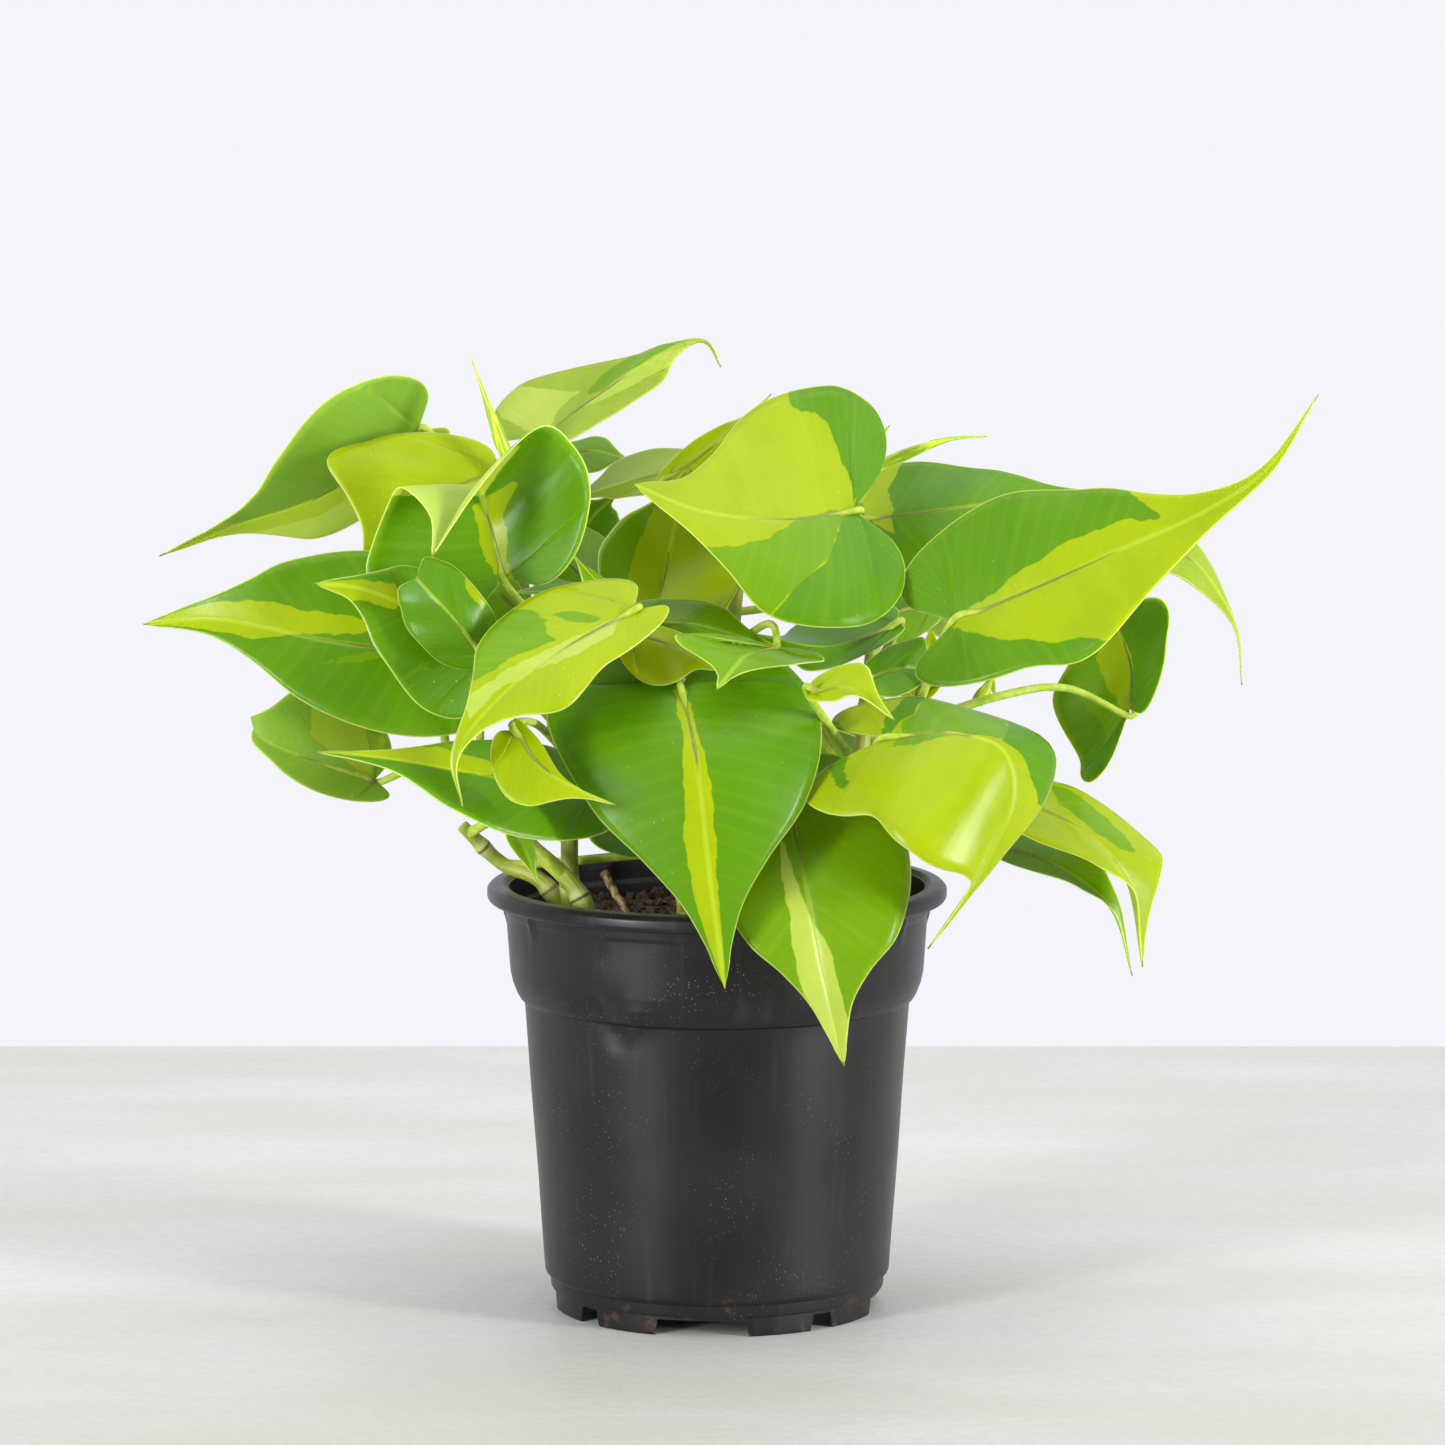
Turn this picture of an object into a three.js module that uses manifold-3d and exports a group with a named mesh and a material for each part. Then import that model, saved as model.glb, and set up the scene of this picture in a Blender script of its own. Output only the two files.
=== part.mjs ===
// A potted heart-leaf philodendron with lime-striped leaves, in a plain black nursery pot.
// Millimetres, +Z up. The origin is on the table, under the middle of the pot.
import * as THREE from "three";
import { mergeVertices } from "three/addons/utils/BufferGeometryUtils.js";
import Module from "manifold-3d";

const wasm = await Module();
wasm.setup();

// ---- Pot -----------------------------------------------------------------------------------
const RIM_RADIUS = 60;          // outside of the rolled lip
const POT_HEIGHT = 112;
const POT_WALL = 1.2;
const LIP_HEIGHT = 4.5;         // depth of the lip's outer band
const LIP_STEP = 4.6;           // how far the lip stands out past the collar below it
const LIP_ROUND = 1.2;
const COLLAR_HEIGHT = 26;       // collar between the lip and the shoulder
const COLLAR_TAPER = 1.5;       // how much narrower the collar is at its foot
const SHOULDER_STEP = 3.6;      // how far the body is set in below the collar
const SHOULDER_RISE = 7.5;      // height over which the shoulder rounds out to the collar
const FOOT_HEIGHT = 8.5;
const FOOT_STEP = 2.4;          // how far the foot is set in below the body
const FOOT_RADIUS = 42.7;
const FLOOR_HEIGHT = 3.6;       // underside of the floor above the table
const NOTCH_HEIGHT = 4.3;       // drain notches through the foot
const NOTCH_DEPTH = 6;
const NOTCH_FLARE = 1.2;        // how far each side of a notch leans in
const WIDE_NOTCH = 25;
const NARROW_NOTCH = 8;
const NOTCH_PAIRS = 4;          // wide and narrow notches take turns round the foot
const NOTCH_TURN = -5.6;        // degrees that the first wide notch sits left of the front
const DRAIN_RADIUS = 4.5;
const DRAIN_CIRCLE = 29;
const POT_SEGMENTS = 36;

// ---- Soil ----------------------------------------------------------------------------------
const SOIL_DROP = 11;           // soil level below the lip
const SOIL_CROWN = 1.5;         // rise of the soil towards the stems
const SOIL_SEGMENTS = 24;

// ---- Stems and leaves ----------------------------------------------------------------------
const GAP = 0.3;                // clearance kept between touching pieces
const DRAWN_RIM = 60;           // rim radius that the stem and leaf points below are drawn for
const DRAWN_SOIL = 101;         // soil level they are drawn for
const STEM_ROOT_RADIUS = 2.6;
const STEM_TIP_RADIUS = 1.7;
const STALK_ROOT_RADIUS = 1.2;  // leaf stalk where it leaves the stem
const STALK_TIP_RADIUS = 0.9;
const STALK_JOIN = 2;           // length over which the stalk flares into the blade
const STALK_RINGS = 2;          // rings of a stalk with no bends
const STALK_STEP = 0.25;        // step in which a stalk's start moves out of its stem
const STEM_SAMPLES = 60;        // points of a stem that a stalk is kept clear of
const LEAF_THICKNESS = 0.5;
const LEAF_ROWS = 7;            // along the blade
const LEAF_COLUMNS = 2;         // from the midrib to each margin
const BLADE_START = 0.05;       // share of the outline where the first row of points is
const BLADE_END = 0.99;
const VEIN_DRAW = 1.4;          // how long the veins stay near the stalk before they part
const VEIN_SWEEP = 1.3;         // how the veins sweep towards the tip
const WIDEST = 0.12;            // where the blade is widest, as a share of its body
const MIDDLE = 0.5;             // where a second margin point may turn the blade
const MIDDLE_WIDTH = 0.77;      // half width there, as a share of the widest

const GREEN = { dark: 0x2f6b1c, mid: 0x5a9a16, lime: 0xbddc12, pale: 0x9fbf4a };

// Half of a heart-shaped outline: along the blade from the stalk, then out from the midrib,
// both as shares of the body. The lobes reach back behind the stalk.
const HEART = [
  [0, 0], [-0.07, 0.12], [-0.17, 0.33], [-0.19, 0.57], [-0.12, 0.82], [0.05, 1],
  [0.27, 0.98], [0.5, 0.77], [0.68, 0.46], [0.84, 0.2], [1, 0.07],
];

// Each stem's route, from the soil up.
const STEMS = {
  upright: [[-38, -18, 90], [-38, -21, 120], [-39, -20, 145], [-48, -14, 180], [-53, -2, 205]],
  left: [[-28, -34, 90], [-35, -34, 113], [-48, -30, 126], [-62, -28, 138], [-74, -26, 148]],
  left_low: [[-33, -9, 90], [-44, -11, 112], [-56, -8, 118], [-66, -10, 128]],
  front: [[-8, -26, 90], [-8, -32, 120], [-8, -34, 150], [-6, -32, 172]],
  centre: [[4, -4, 90], [2, -6, 130], [3, -4, 165], [6, 2, 198]],
  right: [[26, -16, 90], [30, -20, 120], [38, -24, 142], [50, -22, 156]],
  right_back: [[30, 10, 90], [36, 10, 130], [40, 12, 165], [44, 18, 196]],
  back: [[-4, 30, 90], [-8, 36, 130], [-6, 42, 165], [-2, 46, 186]],
};

// Each leaf: the stem it grows from and how far up that stem, any points its stalk bends
// through, its midrib from the stalk to the tip, where its left and right margins pass at
// the widest and sometimes at the middle, as seen from its upper face with the tip away,
// the bend in degrees of each half (positive is cupped), and the share of its length that
// is the thin drip tip.
const LEAVES = [
  { name: "far_left_high", green: "pale", stem: "upright", at: 0.97, stalk: [[-70, 6, 222]],
    rib: [[-78, 8, 229], [-102, 4, 213], [-126, 0, 205], [-144, -8, 198]],
    left: [[-99, -14, 239]], right: [[-86, 14, 210]], curl: [20, 20], tail: 0.22 },
  { name: "left_lime", green: "lime", stem: "upright", at: 0.9, stalk: [],
    rib: [[-56, -3, 220], [-76, -14, 212], [-90, -24, 196]],
    left: [[-60, -18, 203]], right: [[-88, -8, 228], [-100, -16, 222]], curl: [-10, -10], tail: 0.1 },
  { name: "left_folded", green: "dark", stem: "upright", at: 0.72, stalk: [[-46, -36, 184]],
    rib: [[-54, -38, 196], [-58, -34, 210], [-61, -42, 219], [-71, -66, 204]],
    left: [[-88, -44, 197], [-80, -52, 218]], right: [[-33, -46, 222]], curl: [20, 20], tail: 0.12 },
  { name: "far_left", green: "dark", stem: "left", at: 0.9, stalk: [[-70, -28, 160]],
    rib: [[-67, -34, 175], [-98, -34, 179], [-126, -30, 184], [-147, -22, 182]],
    left: [[-79, -42, 156]], right: [[-84, -28, 201]], curl: [-15, -15], tail: 0.12 },
  { name: "left_round", green: "dark", stem: "upright", at: 0.55, stalk: [[-50, -40, 168]],
    rib: [[-59, -60, 179], [-67, -66, 190], [-75, -62, 198]],
    left: [[-73, -60, 180], [-79, -60, 189]], right: [[-58, -58, 192], [-68, -58, 202]],
    curl: [10, 10], tail: 0.02 },
  { name: "left_dark", green: "dark", stem: "left", at: 0.75, stalk: [[-60, -44, 154]],
    rib: [[-61, -50, 175], [-72, -52, 186], [-87, -54, 194], [-101, -54, 196]],
    left: [[-76, -58, 167]], right: [[-67, -45, 193]], curl: [10, 10], tail: 0.1 },
  { name: "low_left", green: "pale", stem: "left", at: 1, stalk: [],
    rib: [[-88, -24, 142], [-103, -34, 148], [-116, -36, 154], [-118, -26, 157]],
    left: [[-97, -20, 165]], right: [[-98, -34, 139]], curl: [15, 15], tail: 0.05 },
  { name: "front_left_lime", green: "lime", stem: "front", at: 0.85, stalk: [[-28, -42, 182]],
    rib: [[-21, -62, 190], [-39, -72, 181], [-54, -80, 170], [-64, -84, 157], [-63, -86, 144]],
    left: [[-26, -74, 179], [-40, -84, 167]], right: [[-47, -58, 192]], curl: [-15, -15], tail: 0.22 },
  { name: "low_left_dark", green: "dark", stem: "left_low", at: 0.95, stalk: [[-48, -30, 137]],
    rib: [[-32, -45, 141], [-55, -58, 147], [-79, -62, 152], [-101, -66, 155]],
    left: [[-47, -70, 134]], right: [[-45, -40, 153]], curl: [-10, -10], tail: 0.15 },
  { name: "front_left_curled", green: "lime", stem: "upright", at: 0.5, stalk: [[-46, -50, 160]],
    rib: [[-50, -72, 161], [-44, -77, 153], [-35, -81, 148], [-25, -84, 144]],
    left: [[-43, -74, 157]], right: [[-54, -79, 148]], curl: [10, 10], tail: 0.2 },
  { name: "front_centre", green: "dark", stem: "front", at: 0.9, stalk: [],
    rib: [[-9, -55, 170], [-5, -70, 153], [-2, -76, 127], [2, -72, 96]],
    left: [[25, -50, 163]], right: [[-42, -52, 161]], curl: [-25, -25], tail: 0.15 },
  { name: "front_low", green: "mid", stem: "front", at: 0.6, stalk: [[8, -40, 148]],
    rib: [[18, -48, 145], [22, -62, 122], [27, -68, 97], [32, -66, 75]],
    left: [[48, -55, 128]], right: [[-1, -58, 126]], curl: [-20, -20], tail: 0.12 },
  { name: "front_right_lime", green: "lime", stem: "right", at: 0.8, stalk: [[40, -44, 151]],
    rib: [[43, -56, 157], [57, -62, 159], [71, -66, 156], [74, -68, 143], [68, -70, 129], [62, -70, 119],
      [53, -66, 105]],
    left: [[48, -44, 166], [85, -54, 151]], right: [[36, -76, 141], [52, -84, 129]],
    curl: [-15, -15], tail: 0.2 },
  { name: "crown_lime", green: "lime", stem: "centre", at: 1, stalk: [[24, -6, 202]],
    rib: [[35, -22, 211], [16, -34, 210], [-4, -42, 213], [-21, -46, 220]],
    left: [[36, -48, 185], [10, -52, 189]], right: [[28, 0, 241], [7, -12, 235]],
    curl: [-25, 10], tail: 0.1 },
  { name: "crown_pale", green: "pale", stem: "centre", at: 0.92, stalk: [[8, 20, 208]],
    rib: [[-4, 22, 218], [-20, 18, 216], [-41, 8, 210]],
    left: [[-15, 14, 212]], right: [[-16, 32, 222]], curl: [10, 10], tail: 0.1 },
  { name: "crown_narrow", green: "lime", stem: "centre", at: 0.97, stalk: [[-6, 8, 208]],
    rib: [[-13, 12, 216], [-1, 8, 225], [14, 4, 239]],
    left: [[-6, 14, 226]], right: [[-1, 0, 217]], curl: [20, 20], tail: 0.15 },
  { name: "crown_left", green: "pale", stem: "upright", at: 1, stalk: [],
    rib: [[-45, 10, 228], [-31, 14, 238], [-16, 14, 248], [-4, 10, 252], [1, 4, 246]],
    left: [[-52, 32, 239], [-20, 20, 249]], right: [[-32, 4, 231], [-14, 8, 242]],
    curl: [10, 10], tail: 0.2 },
  { name: "crown_olive", green: "mid", stem: "centre", at: 0.8, stalk: [[-20, 22, 196], [-44, 34, 209]],
    rib: [[-41, 38, 220], [-32, 40, 221], [-22, 38, 218]],
    left: [[-35, 44, 224]], right: [[-33, 34, 216]], curl: [0, 0], tail: 0.1 },
  { name: "centre_yellow", green: "lime", stem: "centre", at: 0.6, stalk: [],
    rib: [[-16, -26, 181], [-13, -10, 197], [-7, -14, 221]],
    left: [[-30, -26, 199]], right: [[6, -24, 194]], curl: [30, 30], tail: 0.05 },
  { name: "centre_sliver", green: "mid", stem: "upright", at: 0.75, stalk: [[-37, -29, 182]],
    rib: [[-23, -42, 188], [-30, -43, 195], [-37, -44, 203]],
    left: [[-30, -47, 191]], right: [[-27, -37, 194]], curl: [20, 20], tail: 0.1 },
  { name: "inner_lime", green: "mid", stem: "upright", at: 0.8, stalk: [[-34, -14, 182]],
    rib: [[-32, -8, 191], [-41, -4, 198], [-50, 2, 206]],
    left: [[-44, -8, 188]], right: [[-30, 4, 202]], curl: [0, 0], tail: 0.05 },
  { name: "inner_dark", green: "dark", stem: "centre", at: 0.6, stalk: [[-20, 8, 180]],
    rib: [[-36, 18, 192], [-34, 20, 203], [-27, 16, 211]],
    left: [[-43, 22, 204]], right: [[-25, 14, 200]], curl: [0, 0], tail: 0.05 },
  { name: "inner_left", green: "mid", stem: "upright", at: 0.8, stalk: [],
    rib: [[-50, -21, 184], [-57, -21, 191], [-64, -21, 196]],
    left: [[-61, -25, 185]], right: [[-54, -16, 196]], curl: [0, 0], tail: 0.05 },
  { name: "inner_low", green: "dark", stem: "upright", at: 0.66, stalk: [],
    rib: [[-28, -25, 189], [-39, -28, 191], [-51, -30, 191]],
    left: [[-36, -32, 188]], right: [[-38, -20, 193]], curl: [0, 0], tail: 0.05 },
  { name: "centre_dark", green: "mid", stem: "front", at: 0.98, stalk: [],
    rib: [[-20, -41, 185], [-4, -44, 184], [18, -42, 177]],
    left: [[-9, -36, 190]], right: [[-4, -47, 180]], curl: [10, 10], tail: 0.1 },
  { name: "centre_lime", green: "lime", stem: "front", at: 0.8, stalk: [],
    rib: [[-22, -50, 183], [-11, -52, 180], [0, -54, 174]],
    left: [[-13, -47, 184]], right: [[-17, -57, 171]], curl: [10, 10], tail: 0.1 },
  { name: "centre_edge", green: "mid", stem: "front", at: 0.95, stalk: [[12, -41, 184]],
    rib: [[14, -48, 179], [7, -58, 178], [0, -69, 171]],
    left: [[26, -52, 176]], right: [[-9, -62, 184]], curl: [20, 20], tail: 0.2 },
  { name: "right_blue", green: "dark", stem: "right_back", at: 0.7, stalk: [],
    rib: [[46, -14, 181], [29, -28, 177], [9, -36, 181]],
    left: [[33, -30, 173]], right: [[28, -8, 185]], curl: [10, 10], tail: 0.05 },
  { name: "right_high", green: "dark", stem: "right_back", at: 1, stalk: [],
    rib: [[37, 15, 205], [55, 8, 208], [79, 8, 211], [103, 12, 212]],
    left: [[48, 28, 218]], right: [[49, 0, 194]], curl: [-10, -10], tail: 0.1 },
  { name: "far_right", green: "lime", stem: "right", at: 0.9, stalk: [[51, -36, 162]],
    rib: [[61, -40, 185], [79, -44, 193], [102, -48, 204], [121, -52, 213], [138, -56, 225],
      [150, -60, 244]],
    left: [[69, -28, 214], [96, -36, 218]], right: [[76, -54, 174], [99, -58, 182]],
    curl: [-15, -15], tail: 0.28 },
  { name: "right_pendant", green: "pale", stem: "right_back", at: 0.95, stalk: [[80, 18, 188]],
    rib: [[113, 14, 200], [126, 16, 193], [136, 18, 177], [138, 20, 161]],
    left: [[119, 20, 202]], right: [[113, 8, 194]], curl: [20, 20], tail: 0.3 },
  { name: "right_hanging", green: "dark", stem: "right", at: 1, stalk: [[72, -20, 163], [90, -10, 164]],
    rib: [[107, -5, 158], [107, 0, 171], [99, 12, 187]],
    left: [[95, 4, 142], [88, 10, 161]], right: [[116, -10, 176], [114, -6, 187]],
    curl: [10, 10], tail: 0.05 },
  { name: "low_right", green: "lime", stem: "right", at: 0.7, stalk: [[58, -26, 144]],
    rib: [[75, -30, 138], [91, -34, 132], [104, -36, 119], [109, -34, 95]],
    left: [[90, -20, 140], [114, -24, 123]], right: [[86, -44, 127]], curl: [-10, -10], tail: 0.15 },
  { name: "low_right_narrow", green: "mid", stem: "right", at: 0.6, stalk: [[54, -18, 132]],
    rib: [[70, -18, 125], [86, -22, 120], [101, -24, 109], [107, -24, 91]],
    left: [[86, -14, 126]], right: [[80, -26, 119]], curl: [10, 10], tail: 0.2 },
  { name: "right_curled", green: "lime", stem: "right", at: 0.75, stalk: [],
    rib: [[24, -66, 170], [33, -76, 172], [44, -82, 165]],
    left: [[33, -66, 177]], right: [[29, -76, 169]], curl: [15, 15], tail: 0.1 },
  { name: "right_shaded", green: "dark", stem: "right", at: 0.95, stalk: [[46, -28, 159]],
    rib: [[38, -38, 170], [47, -34, 172], [56, -28, 170]],
    left: [[45, -28, 177], [53, -28, 179]], right: [[47, -40, 166]], curl: [0, 0], tail: 0.05 },
  { name: "right_green", green: "mid", stem: "right_back", at: 0.8, stalk: [[56, 14, 178]],
    rib: [[56, 8, 184], [44, 3, 181], [30, -8, 168]],
    left: [[48, 6, 174]], right: [[44, 14, 186]], curl: [10, 10], tail: 0.15 },
  { name: "right_yellow", green: "lime", stem: "right_back", at: 0.5, stalk: [],
    rib: [[52, 14, 158], [55, 14, 167], [56, 16, 176]],
    left: [[48, 14, 167]], right: [[61, 12, 166]], curl: [20, 20], tail: 0.05 },
  { name: "low_shaded", green: "dark", stem: "left_low", at: 0.7, stalk: [],
    rib: [[-17, -20, 123], [-26, -26, 129], [-36, -32, 132]],
    left: [[-30, -34, 126]], right: [[-24, -20, 132]], curl: [0, 0], tail: 0.1 },
  { name: "low_sliver", green: "mid", stem: "left", at: 0.4, stalk: [],
    rib: [[-51, -44, 131], [-48, -50, 126], [-45, -54, 119]],
    left: [[-47, -48, 130]], right: [[-53, -46, 129]], curl: [0, 0], tail: 0.1 },
  { name: "back_high", green: "dark", stem: "back", at: 1, stalk: [],
    rib: [[-2, 54, 192], [-8, 68, 192], [-14, 80, 180], [-16, 84, 162]],
    left: [[-30, 58, 184]], right: [[24, 60, 188]], curl: [-20, -20], tail: 0.15 },
  { name: "back_left", green: "mid", stem: "back", at: 0.8, stalk: [[-24, 42, 176]],
    rib: [[-38, 46, 180], [-58, 60, 176], [-76, 72, 164], [-84, 76, 148]],
    left: [[-58, 28, 170]], right: [[-30, 70, 170]], curl: [-20, -20], tail: 0.12 },
  { name: "back_right", green: "lime", stem: "back", at: 0.9, stalk: [[20, 44, 180]],
    rib: [[34, 50, 186], [52, 64, 180], [68, 76, 166], [76, 82, 150]],
    left: [[28, 76, 174]], right: [[62, 40, 178]], curl: [-20, -20], tail: 0.12 },
  { name: "back_low_left", green: "lime", stem: "back", at: 0.5, stalk: [],
    rib: [[-18, 54, 148], [-30, 70, 142], [-38, 80, 126], [-42, 84, 106]],
    left: [[-46, 50, 134]], right: [[-4, 76, 136]], curl: [-15, -15], tail: 0.12 },
  { name: "back_low_right", green: "dark", stem: "back", at: 0.6, stalk: [[10, 48, 150]],
    rib: [[18, 54, 150], [28, 70, 144], [34, 80, 128], [38, 84, 108]],
    left: [[4, 72, 136]], right: [[50, 58, 138]], curl: [-15, -15], tail: 0.12 },
];

// Leaves that are still rolled, and the pale sheath they come out of.
const SPEARS = [
  { name: "spear_left", route: [[-52, -8, 218], [-57, -10, 232], [-63, -10, 249]], radius: 1.7 },
  { name: "spear_short", route: [[41, 14, 222], [42, 14, 226], [45, 14, 230]], radius: 1.4 },
  { name: "spear_right", route: [[39, 10, 218], [49, 8, 223], [60, 6, 227], [70, 4, 228]], radius: 1.5 },
  { name: "sheath_right", route: [[67, -10, 160], [69, -10, 163], [72, -10, 168]], radius: 1.8 },
];

const AERIAL_ROOT = [[-29, -30, 119], [-26, -33, 114], [-22, -40, 108], [-20, -43, 102]];
const ROOT_RADIUS = 1;

// ---- Geometry helpers ----------------------------------------------------------------------
const spread = RIM_RADIUS / DRAWN_RIM;
const rise = POT_HEIGHT - SOIL_DROP - DRAWN_SOIL;

// A drawn point of the plant, moved with the rim and the soil level.
const drawn = ([x, y, z]) => new THREE.Vector3(x * spread, y * spread, z + rise);
const curveThrough = (points) => new THREE.CatmullRomCurve3(points, false, "catmullrom", 0.5);
const drawnCurve = (points) => curveThrough(points.map(drawn));

function indexed(points, faces) {
  const geometry = new THREE.BufferGeometry();
  const coordinates = points.flatMap((p) => p.toArray());
  geometry.setAttribute("position", new THREE.Float32BufferAttribute(coordinates, 3));
  geometry.setIndex(faces.flat());
  return geometry;
}

function solid(geometry) {
  geometry.deleteAttribute("normal");
  geometry.deleteAttribute("uv");
  const merged = mergeVertices(geometry, 1e-4);
  return new wasm.Manifold(new wasm.Mesh({
    numProp: 3,
    vertProperties: new Float32Array(merged.attributes.position.array),
    triVerts: new Uint32Array(merged.index.array),
  }));
}

function geometryOf(manifold) {
  const mesh = manifold.getMesh();
  const geometry = new THREE.BufferGeometry();
  geometry.setAttribute("position", new THREE.BufferAttribute(mesh.vertProperties, 3));
  geometry.setIndex(new THREE.BufferAttribute(mesh.triVerts, 1));
  return geometry;
}

// A closed tube along a curve, whose radius is a function of the share of the way along.
function tube(curve, radiusAt, sides, steps) {
  const frames = curve.computeFrenetFrames(steps, false);
  const points = [];
  const faces = [];
  for (let i = 0; i <= steps; i++) {
    const centre = curve.getPointAt(i / steps);
    for (let j = 0; j < sides; j++) {
      const angle = (2 * Math.PI * j) / sides;
      points.push(centre.clone()
        .addScaledVector(frames.normals[i], radiusAt(i / steps) * Math.cos(angle))
        .addScaledVector(frames.binormals[i], radiusAt(i / steps) * Math.sin(angle)));
    }
  }
  const at = (i, j) => i * sides + (j % sides);
  for (let i = 0; i < steps; i++) {
    for (let j = 0; j < sides; j++) {
      faces.push([at(i, j), at(i, j + 1), at(i + 1, j)]);
      faces.push([at(i, j + 1), at(i + 1, j + 1), at(i + 1, j)]);
    }
  }
  const first = points.push(curve.getPointAt(0)) - 1;
  const last = points.push(curve.getPointAt(1)) - 1;
  for (let j = 0; j < sides; j++) {
    faces.push([first, at(0, j + 1), at(0, j)]);
    faces.push([last, at(steps, j), at(steps, j + 1)]);
  }
  return indexed(points, faces);
}

const taper = (from, to) => (share) => from + (to - from) * share;

// One closed leaf: a plate around a grid of points, half its thickness to each side, whose
// first row is the end of the stalk's rings. Each ring has as many points as the plate's
// edge there: over the upper face from left to right, then back under the lower face.
function leafSurface(grid, rings, thickness) {
  const rows = grid.length;
  const columns = grid[0].length;
  const clamp = THREE.MathUtils.clamp;
  const pick = (r, c) => grid[clamp(r, 0, rows - 1)][clamp(c, 0, columns - 1)];
  const upper = [];
  const lower = [];
  for (let r = 0; r < rows; r++) {
    for (let c = 0; c < columns; c++) {
      const across = pick(r, c + 1).clone().sub(pick(r, c - 1));
      const along = pick(r + 1, c).clone().sub(pick(r - 1, c));
      const normal = across.cross(along).normalize();
      upper.push(pick(r, c).clone().addScaledVector(normal, thickness / 2));
      lower.push(pick(r, c).clone().addScaledVector(normal, -thickness / 2));
    }
  }
  const up = (r, c) => r * columns + c;
  const down = (r, c) => rows * columns + r * columns + c;
  const faces = [];
  const quad = (a, b, c, d) => faces.push([a, b, c], [b, d, c]);
  for (let r = 0; r < rows - 1; r++) {
    for (let c = 0; c < columns - 1; c++) {
      quad(up(r, c), up(r, c + 1), up(r + 1, c), up(r + 1, c + 1));
      quad(down(r, c + 1), down(r, c), down(r + 1, c + 1), down(r + 1, c));
    }
    quad(down(r, 0), up(r, 0), down(r + 1, 0), up(r + 1, 0));
    quad(up(r, columns - 1), down(r, columns - 1), up(r + 1, columns - 1), down(r + 1, columns - 1));
  }
  for (let c = 0; c < columns - 1; c++) {
    quad(up(rows - 1, c), up(rows - 1, c + 1), down(rows - 1, c), down(rows - 1, c + 1));
  }
  const sides = 2 * columns;
  const firstRing = 2 * rows * columns;
  const onRing = (i, j) => {
    const side = j % sides;
    if (i < rings.length) return firstRing + i * sides + side;
    return side < columns ? up(0, side) : down(0, sides - 1 - side);
  };
  const centre = firstRing + rings.length * sides;
  for (let j = 0; j < sides; j++) {
    faces.push([centre, onRing(0, j + 1), onRing(0, j)]);
    for (let i = 0; i < rings.length; i++) {
      quad(onRing(i, j), onRing(i, j + 1), onRing(i + 1, j), onRing(i + 1, j + 1));
    }
  }
  const middle = rings[0].reduce((sum, p) => sum.add(p), new THREE.Vector3()).divideScalar(sides);
  return indexed([...upper, ...lower, ...rings.flat(), middle], faces);
}

// ---- Pieces --------------------------------------------------------------------------------
const collarRadius = RIM_RADIUS - LIP_STEP;
const shoulderHeight = POT_HEIGHT - LIP_HEIGHT - COLLAR_HEIGHT;
const collarFootRadius = collarRadius - COLLAR_TAPER;
const bodyTopRadius = collarFootRadius - SHOULDER_STEP;
const bodyFootRadius = FOOT_RADIUS + FOOT_STEP;
const floorTop = FLOOR_HEIGHT + POT_WALL;

// The pot's outside from the foot up, each point as radius and height.
const potOutside = [
  [FOOT_RADIUS, 0], [FOOT_RADIUS + 0.2, FOOT_HEIGHT - 1], [bodyFootRadius, FOOT_HEIGHT + 1],
  [bodyTopRadius, shoulderHeight], [bodyTopRadius + SHOULDER_STEP / 3, shoulderHeight + 1.2],
  [collarFootRadius - 0.4, shoulderHeight + SHOULDER_RISE - 1.5],
  [collarFootRadius, shoulderHeight + SHOULDER_RISE],
  [collarRadius, POT_HEIGHT - LIP_HEIGHT - 3],
];

// Inner radius of the pot at a height, which the soil follows too.
function insideRadius(height) {
  for (let i = 1; i < potOutside.length; i++) {
    const [r0, z0] = potOutside[i - 1];
    const [r1, z1] = potOutside[i];
    if (height <= z1) return r0 + ((r1 - r0) * Math.max(height - z0, 0)) / (z1 - z0) - POT_WALL;
  }
  return collarRadius - POT_WALL;
}

const insideHeights = potOutside.map(([, z]) => z).filter((z) => z > floorTop + 1);

function latheUp(profile, segments) {
  const geometry = new THREE.LatheGeometry(profile.map(([r, z]) => new THREE.Vector2(r, z)), segments);
  return solid(geometry.rotateX(Math.PI / 2));
}

function footNotch(width) {
  const half = width / 2;
  const outline = new THREE.Shape([
    new THREE.Vector2(-half, -1), new THREE.Vector2(half, -1),
    new THREE.Vector2(half - NOTCH_FLARE, NOTCH_HEIGHT),
    new THREE.Vector2(NOTCH_FLARE - half, NOTCH_HEIGHT),
  ]);
  const cut = new THREE.ExtrudeGeometry(outline, { depth: NOTCH_DEPTH + FOOT_STEP, bevelEnabled: false });
  return cut.rotateX(Math.PI / 2).translate(0, NOTCH_DEPTH - FOOT_RADIUS, 0);
}

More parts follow.
